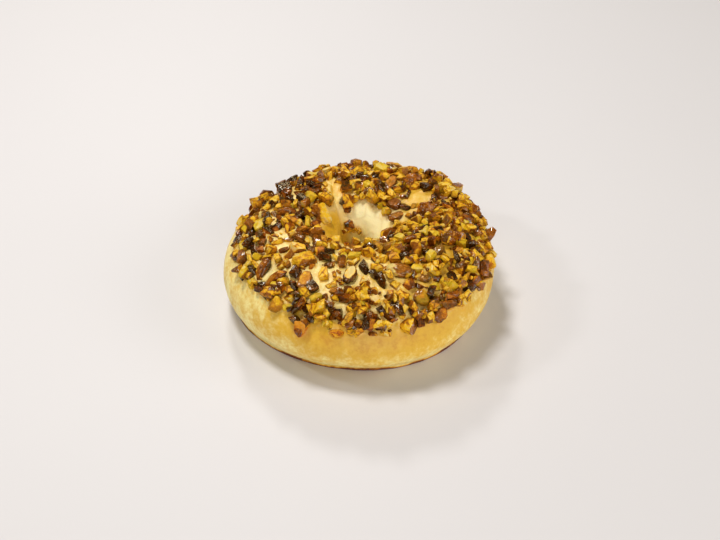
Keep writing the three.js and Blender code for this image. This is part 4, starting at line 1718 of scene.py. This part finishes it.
@dataclass(frozen=True)
class Baking:
    """How far the oven browned the dough, from 0, cream, to 1, dark, with painted light and shade worked into
    it; angles are in degrees.
    """

    crust: float = 0.05
    under_nuts: float = 0.08
    flank: float = 0.2
    # Painted light: the left flank, which faces the lamps on the left, is kept paler.
    lit_flank: float = 0.08
    near_flank: float = 0.15
    # Painted bounce light with lighter baking: the flank is paler low down, where the floor throws light up
    # onto it.
    low_flank: float = 0.11
    far_hole: float = 0.2
    # Painted shade in the lap's crease.
    crease: float = 0.12
    oily_top: float = 0.2
    base: float = 0.83
    base_swing: float = 0.22
    base_pitch: float = 4.0
    singed: float = 0.8
    singed_span: Span = (0.2, 1.2)
    scorch_span: Span = (-0.5, 0.8)
    rag_middle: float = 0.3
    rag_heights: Span = (1.3, 0.5)
    rag_pitches: Span = (6.0, 1.6)
    rag_limit: float = 1.8
    flank_fade: Span = (20.0, 62.0)
    nut_edge_fade: Span = (2.0, 18.0)
    near_angles: Span = (-8.0, 22.0)
    low_angles: Span = (-45.0, 20.0)
    foot_angles: Span = (-75.0, -35.0)
    foot_share: float = 0.2
    # The left side, kept paler as painted light.
    lit_side: Side = Side(185.0, 0.4, 1.0)
    near_side: Side = Side(275.0, 0.5, 1.0)
    # Painted shade on the hole's left wall, which faces away from the lamps.
    hole_shade_side: Side = Side(178.0, 0.2, 0.9)
    hole_shade_angles: Span = (112.0, 130.0)
    # The hole's far wall: baked paler, and lifted with painted light in the finish.
    hole_far_side: Side = Side(75.0, 0.3, 0.9)
    hole_far_angles: Span = (112.0, 125.0)
    oily_side: Side = Side(20.0, -0.6, 0.6)
    oily_angles: Span = (40.0, 60.0)
    vein_stretch: Triple = (1.0, 1.0, 0.5)
    vein_pitch: float = 5.0
    vein_width: float = 0.07
    vein_share: float = 0.25
    stain: float = 0.6
    stain_reach: float = 0.9
    # Oil soaked in round the nuts, together with painted shade between them.
    oil_and_shade: float = 0.9
    oil_and_shade_reach: Span = (1.2, 2.0)


@dataclass
class Dough:
    """The ring of baked dough, with its lap, its flat base and the dents of the nuts."""

    form: DoughForm
    band: NutBand
    pieces: list[NutPiece]
    baking: Baking = Baking()
    columns: int = 440
    rows: int = 190
    base_rows: int = 12
    lump_height: float = 0.4
    lump_pitch: float = 6.5
    bare_lumps: float = 0.35
    wave_height: float = 0.3
    wave_pitch: float = 17.0
    skin_height: float = 0.05
    skin_pitch: float = 1.7
    nut_rise: float = 0.45
    nut_rise_reach: float = 0.9
    far_gap: float = 20.0
    search_share: float = 2.2
    search_margin: float = 4.0
    nut_rim: float = 0.9
    above_weight: float = 2.0
    band_blur: float = 6.0
    seam_depth: float = 0.7
    seam_width: float = 0.9
    seam_start: Span = (70.0, 95.0)
    seam_end: Span = (150.0, 170.0)

    def build(self, material: bpy.types.Material) -> bpy.types.Object:
        """Mesh of the ring.

        Args:
            material: The dough's finish.

        Returns:
            The object.
        """
        bearing, theta, is_base = self._grid()
        points, normals = self.form.place(bearing, theta)
        points[is_base] = self._base_points(points)
        gaps = self._gaps(points, self.pieces)
        moved = self._relief(points, bearing, theta, gaps)
        moved[is_base] = 0.0
        points = points + normals * moved[:, None]
        points[:, 2] = np.maximum(points[:, 2], 0.0)
        marks = self._marks(points, bearing, theta, gaps, is_base)
        return make_piece("dough", points, self._faces(), marks, material)

    def _grid(self) -> tuple[Array, Array, Array]:
        """Bearing, section angle and place on the base of each point of the ring."""
        start, end = -math.pi / 2.0, self.form.hole_foot_angle()
        theta = np.concatenate([np.linspace(start, end, self.rows), np.full(self.base_rows, end)])
        turns = np.linspace(0.0, FULL_TURN, self.columns, endpoint=False)
        around, across = np.meshgrid(turns, theta, indexing="ij")
        row = np.tile(np.arange(len(theta)), (self.columns, 1))
        return around.ravel(), across.ravel(), (row >= self.rows).ravel()

    def _base_points(self, points: Array) -> Array:
        """Points of the flat base, from the hole's foot to the outer foot."""
        total = self.rows + self.base_rows
        ring = points.reshape(self.columns, total, 3)
        inner, outer = ring[:, self.rows - 1 : self.rows], ring[:, 0:1]
        share = np.arange(1, self.base_rows + 1)[None, :, None] / (self.base_rows + 1)
        flat = mix(inner, outer, share)
        flat[:, :, 2] = 0.0
        return flat.reshape(-1, 3)

    def _faces(self) -> list[list[int]]:
        """Corner numbers of the ring's faces."""
        total = self.rows + self.base_rows
        column, row = np.meshgrid(np.arange(self.columns), np.arange(total), indexing="ij")
        onward, upward = (column + 1) % self.columns, (row + 1) % total
        here, onward = column * total, onward * total
        corners = [here + row, onward + row, onward + upward, here + upward]
        return np.stack([corner.ravel() for corner in corners], axis=1).tolist()

    def _gaps(self, points: Array, pieces: list[NutPiece]) -> Array:
        """Distance from each point to the rim of the nearest of some nuts, below zero under it.

        Args:
            points: Places on the ring.
            pieces: The nuts.

        Returns:
            The distances in millimetres.
        """
        gaps = np.full(len(points), self.far_gap)
        for piece in pieces:
            offset = points - piece.origin
            search = self.search_share * piece.reach + self.search_margin
            near = np.flatnonzero((np.abs(offset) < search).all(axis=1))
            local = offset[near] @ piece.turn
            flat = np.hypot(local[:, 0] / piece.size[0], local[:, 1] / piece.size[1])
            above = np.maximum(np.abs(local[:, 2]) - piece.size[2], 0.0)
            gap = (flat - self.nut_rim) * piece.reach + self.above_weight * above
            gaps[near] = np.minimum(gaps[near], gap)
        return gaps

    def _in_band(self, bearing: Array, theta: Array) -> Array:
        """Share of the nut band at each point, soft at its edges."""
        outer, inner = self.band.edges(np.degrees(bearing))
        angle, blur = np.degrees(theta), self.band_blur
        return ease(angle, outer - blur, outer + blur) * (1.0 - ease(angle, inner - blur, inner + blur))

    def _seam(self, bearing: Array, theta: Array) -> Array:
        """Share of the lap's crease at each point."""
        angle = np.degrees(theta)
        offset = self.band.seam_offset(np.degrees(bearing), angle)
        length = ease(angle, *self.seam_start) * (1.0 - ease(angle, *self.seam_end))
        return np.exp(-((offset / self.seam_width) ** 2)) * length

    def _relief(self, points: Array, bearing: Array, theta: Array, gaps: Array) -> Array:
        """How far each point stands out of the smooth ring.

        Args:
            points: Places on the smooth ring.
            bearing: Angles round the ring.
            theta: Angles round its section.
            gaps: Distances to the nearest nut.

        Returns:
            Heights in millimetres.
        """
        band = self._in_band(bearing, theta)
        lumps = self.lump_height * mix(self.bare_lumps, 1.0, band) * ripple(points, self.lump_pitch, 1.0)
        waves = self.wave_height * ripple(points, self.wave_pitch, 2.0)
        skin = self.skin_height * ripple(points, self.skin_pitch, 3.0)
        rise = self.nut_rise * np.exp(-((gaps / self.nut_rise_reach) ** 2))
        return lumps + waves + skin + rise - self.seam_depth * self._seam(bearing, theta)

    def _flank(self, bearing: Array, angle: Array) -> Array:
        """How much further the bare flank is baked, less on its left side as painted light and less low down
        as painted bounce light with lighter baking.

        Args:
            bearing: Angles round the ring, in radians.
            angle: Angles round its section, in degrees.

        Returns:
            What the flank adds at each point.
        """
        baking = self.baking
        rise = angle - self.band.edges(np.degrees(bearing))[0]
        bare = (1.0 - ease(angle, *baking.flank_fade)) * (1.0 - ease(rise, *baking.nut_edge_fade))
        near = baking.near_side.share(bearing) * ease(angle, *baking.near_angles)
        # Painted bounce light with lighter baking: paler low on the flank, near the floor.
        foot = mix(baking.foot_share, 1.0, ease(angle, *baking.foot_angles))
        low = (1.0 - ease(angle, *baking.low_angles)) * foot
        # Painted light: paler on the left side, which faces the lamps.
        even = mix(baking.flank, baking.lit_flank, baking.lit_side.share(bearing))
        return bare * (angle < 90.0) * (even + baking.near_flank * near - baking.low_flank * low)

    def _rag(self, points: Array) -> Array:
        """Height above the base at which the scorched line ends, in millimetres."""
        baking = self.baking
        (broad, fine), (broad_pitch, fine_pitch) = baking.rag_heights, baking.rag_pitches
        ups = broad * ripple(points, broad_pitch, 4.0) + fine * ripple(points, fine_pitch, 5.0)
        return np.clip(baking.rag_middle + ups, 0.0, baking.rag_limit)

    def _veins(self, points: Array) -> Array:
        """Share of the fine yellow veins in the hole's wall."""
        baking = self.baking
        waves = ripple(points * baking.vein_stretch, baking.vein_pitch, 8.0)
        return np.exp(-((waves / baking.vein_width) ** 2))

    def _marks(self, points: Array, bearing: Array, theta: Array, gaps: Array,
               is_base: Array) -> dict[str, Array]:
        """What the dough's finish needs at each point.

        Args:
            points: Places on the ring.
            bearing: Angles round the ring.
            theta: Angles round its section.
            gaps: Distances to the nearest nut.
            is_base: Which points are on the flat base.

        Returns:
            How far it is baked, with painted light and shade in it, the oiling and painted shade round the
            nuts, the painted light and yellow veins on the hole's far wall, the painted shade on its left
            wall, and where it is stained and scorched.
        """
        baking, angle = self.baking, np.degrees(theta)
        band = self._in_band(bearing, theta)
        oily = baking.oily_side.share(bearing) * band * ease(angle, *baking.oily_angles)
        # Painted shade on the hole's left wall.
        hole_shade = baking.hole_shade_side.share(bearing) * ease(angle, *baking.hole_shade_angles)
        hole_far = baking.hole_far_side.share(bearing) * ease(angle, *baking.hole_far_angles)
        bake = mix(baking.crust, baking.under_nuts, band) + self._flank(bearing, angle)
        # The lap's crease is darkened: painted shade.
        bake = bake - baking.far_hole * hole_far + baking.crease * self._seam(bearing, theta)
        bake = bake + baking.oily_top * oily
        height = points[:, 2] - self._rag(points)
        base = baking.base + baking.base_swing * ripple(points, baking.base_pitch, 6.0)
        singed = np.where(is_base, base, 1.0 - ease(height, *baking.singed_span))
        reds = [piece for piece in self.pieces if piece.look is Nut.RED_LUMP]
        red_gaps = np.maximum(self._gaps(points, reds), 0.0)
        tints = {
            # Oil round the nuts, together with painted shade between them.
            "oil_and_shade": baking.oil_and_shade * np.exp(-np.maximum(gaps, 0.0) / mix(*baking.oil_and_shade_reach, oily)),
            # Painted light on the hole's far wall.
            "hole_painted_light": hole_far,
            # Painted shade on the hole's left wall, and the yellow veins of its far wall.
            "left_wall_shade_and_veins": np.maximum(hole_shade, baking.vein_share * self._veins(points) * hole_far),
            "stain": baking.stain * np.exp(-red_gaps / baking.stain_reach),
            "scorch": 1.0 - ease(height, *baking.scorch_span),
        }
        shown = {name: np.where(is_base, 0.0, tint) for name, tint in tints.items()}
        return {"bake": np.maximum(bake, baking.singed * singed), **shown}


@dataclass
class NutTopping:
    """The chopped nuts, joined into one mesh for each kind."""

    pile: NutPile
    carver: NutCarver = field(default_factory=NutCarver)
    level: int = 5
    halves: tuple[NutShape, ...] = (NutShape.CUT_HALF, NutShape.SKIN_HALF)
    dark: tuple[Nut, ...] = (Nut.BROWN_CHIP, Nut.SKIN_CHIP, Nut.BURNT_CHIP, Nut.GREY_CHIP)
    tone_share: float = 0.1

    def build(self, material: bpy.types.Material) -> list[bpy.types.Object]:
        """Meshes of the nuts.

        Args:
            material: The nuts' finish.

        Returns:
            One object for each kind.
        """
        laid = self.pile.laid
        chopped = [piece for piece in laid if piece.look.value.shape is NutShape.CHOPPED]
        kinds = {
            "nut_halves": [piece for piece in laid if piece.look.value.shape in self.halves],
            "nut_lumps": [piece for piece in laid if piece.look.value.shape is NutShape.LUMP],
            "nut_chips_dark": [piece for piece in chopped if piece.look in self.dark],
            "nut_chips_gold": [piece for piece in chopped if piece.look not in self.dark],
            "nut_bits": self.pile.bits,
            "nut_shards": self.pile.shards,
            "nut_crumbs": self.pile.crumbs,
        }
        ball = Ball.of_level(self.level)
        return [self._join(name, pieces, ball, material) for name, pieces in kinds.items()]

    def _join(self, name: str, pieces: list[NutPiece], ball: Ball,
              material: bpy.types.Material) -> bpy.types.Object:
        """All the pieces of a kind as one mesh.

        Args:
            name: The kind's name.
            pieces: Its pieces.
            ball: Directions and triangles to carve a rounded one from.
            material: The nuts' finish.

        Returns:
            The object.
        """
        carved = [self.carver.carve(piece, ball) for piece in pieces]
        looks = [piece.look.value for piece in pieces]
        counts = [len(nut.points) for nut in carved]
        steps = np.concatenate([[0], np.cumsum(counts)])
        faces = [
            [corner + step for corner in face] for nut, step in zip(carved, steps) for face in nut.faces
        ]
        # The tone carries random ups and downs and the painted shade low on each piece.
        tone = self.tone_share * np.concatenate([nut.tone for nut in carved])
        marks = {
            "skin": np.concatenate([nut.skin for nut in carved]),
            "edge": np.concatenate([nut.edge for nut in carved]),
            "toast": np.repeat([look.toast for look in looks], counts) + tone,
            "green": np.repeat([look.green for look in looks], counts),
            "red": np.repeat([look.red for look in looks], counts),
            "burnt": np.repeat([look.burnt for look in looks], counts) + tone,
        }
        points = np.concatenate([nut.points for nut in carved])
        is_smooth = all(look.shape is not NutShape.CHOPPED for look in looks)
        return make_piece(name, points, faces, marks, material, is_smooth)


@dataclass
class Studio:
    """A pale floor, soft lamps and the camera, in metres."""

    elevation: float = 41.6
    view_width: float = 24.0
    distance: float = 0.6707
    aim: Triple = (0.000205, 0.0, 0.01287)
    clip: Span = (0.01, 20.0)
    floor_size: float = 6.0
    floor_drop: float = 0.00005
    sky: Colour = (1.0, 0.86, 0.56)
    sky_strength: float = 0.15
    lamps: tuple[tuple[str, tuple[float, float, float], float, float], ...] = (
        ("key_lamp", (-0.16, 0.1, 0.7), 0.15, 3.3),
        ("side_lamp", (0.75, -0.2, 0.4), 0.5, 3.3),
        ("front_lamp", (0.1, -0.9, 0.27), 0.6, 4.5),
        ("glint_lamp", (-0.12, 0.55, 0.5), 0.09, 1.6),
        ("spark_lamp", (-0.5, 0.0, 0.45), 0.07, 0.8),
    )

    def build(self, effects: Effects) -> None:
        """Sets the floor, the lamps and the camera.

        Args:
            effects: The shared effects.
        """
        self._floor(effects)
        for name, spot, size, power in self.lamps:
            self._lamp(name, spot, size, power)
        self._sky()
        self._camera()
        bpy.context.scene.view_settings.view_transform = "Standard"

    def _floor(self, effects: Effects) -> None:
        """The pale floor just under the base."""
        half, low = self.floor_size / 2.0 / MILLIMETRE, -self.floor_drop / MILLIMETRE
        corners = np.array([[-half, -half, low], [half, -half, low], [half, half, low], [-half, half, low]])
        floor = make_piece("floor", corners, [[0, 1, 2, 3]], {}, FloorFinish().material(effects))

    def _lamp(self, name: str, spot: Triple, size: float, power: float) -> None:
        """A soft square lamp that points at the bagel.

        Args:
            name: Its name.
            spot: Where it hangs.
            size: Length of its sides.
            power: Its strength in watts.
        """
        lamp = bpy.data.lights.new(name, "AREA")
        lamp.size, lamp.energy = size, power
        hung = bpy.data.objects.new(name, lamp)
        hung.location = spot
        hung.rotation_euler = (Vector(self.aim) - Vector(spot)).to_track_quat("-Z", "Y").to_euler()
        bpy.context.scene.collection.objects.link(hung)

    def _sky(self) -> None:
        """Even pale light from all round."""
        world = bpy.data.worlds.new("pale_room")
        world.use_nodes = True
        ground = world.node_tree.nodes["Background"]
        ground.inputs["Color"].default_value = (*self.sky, 1.0)
        ground.inputs["Strength"].default_value = self.sky_strength
        bpy.context.scene.world = world

    def _camera(self) -> None:
        """The camera, above the near side."""
        lens = bpy.data.cameras.new("camera")
        lens.angle = math.radians(self.view_width)
        lens.clip_start, lens.clip_end = self.clip
        rise = math.radians(self.elevation)
        back = Vector((0.0, -math.cos(rise), math.sin(rise)))
        camera = bpy.data.objects.new("camera", lens)
        camera.location = Vector(self.aim) + back * self.distance
        camera.rotation_euler = (-back).to_track_quat("-Z", "Y").to_euler()
        bpy.context.scene.collection.objects.link(camera)
        bpy.context.scene.camera = camera


def report(piece: bpy.types.Object) -> None:
    """Logs a piece's name and how many triangles it has."""
    piece.data.calc_loop_triangles()
    LOG.info("%s: %d triangles", piece.name, len(piece.data.loop_triangles))


def main() -> None:
    """Builds the dough, its nuts and the studio."""
    logging.basicConfig(level=logging.INFO, format="%(name)s: %(message)s")
    LOG.info("solid parts: %s", ", ".join(sorted(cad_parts)))
    effects = Effects()
    form = DoughForm()
    band = NutBand(form)
    pile = NutPile(form, band)
    pile.lay_all()
    counts = [len(pieces) for pieces in (pile.laid, pile.bits, pile.shards, pile.crumbs)]
    LOG.info("%d large nuts, %d bits, %d shards, %d crumbs", *counts)
    dough = Dough(form, band, pile.laid + pile.bits + pile.shards).build(CrustFinish().material(effects))
    nuts = NutTopping(pile).build(NutFinish().material(effects))
    for piece in [dough, *nuts]:
        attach(piece, BODY)
        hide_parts(NODE)
        report(piece)
    Studio().build(effects)
    bpy.context.view_layer.update()


if __name__ == "__main__":
    main()
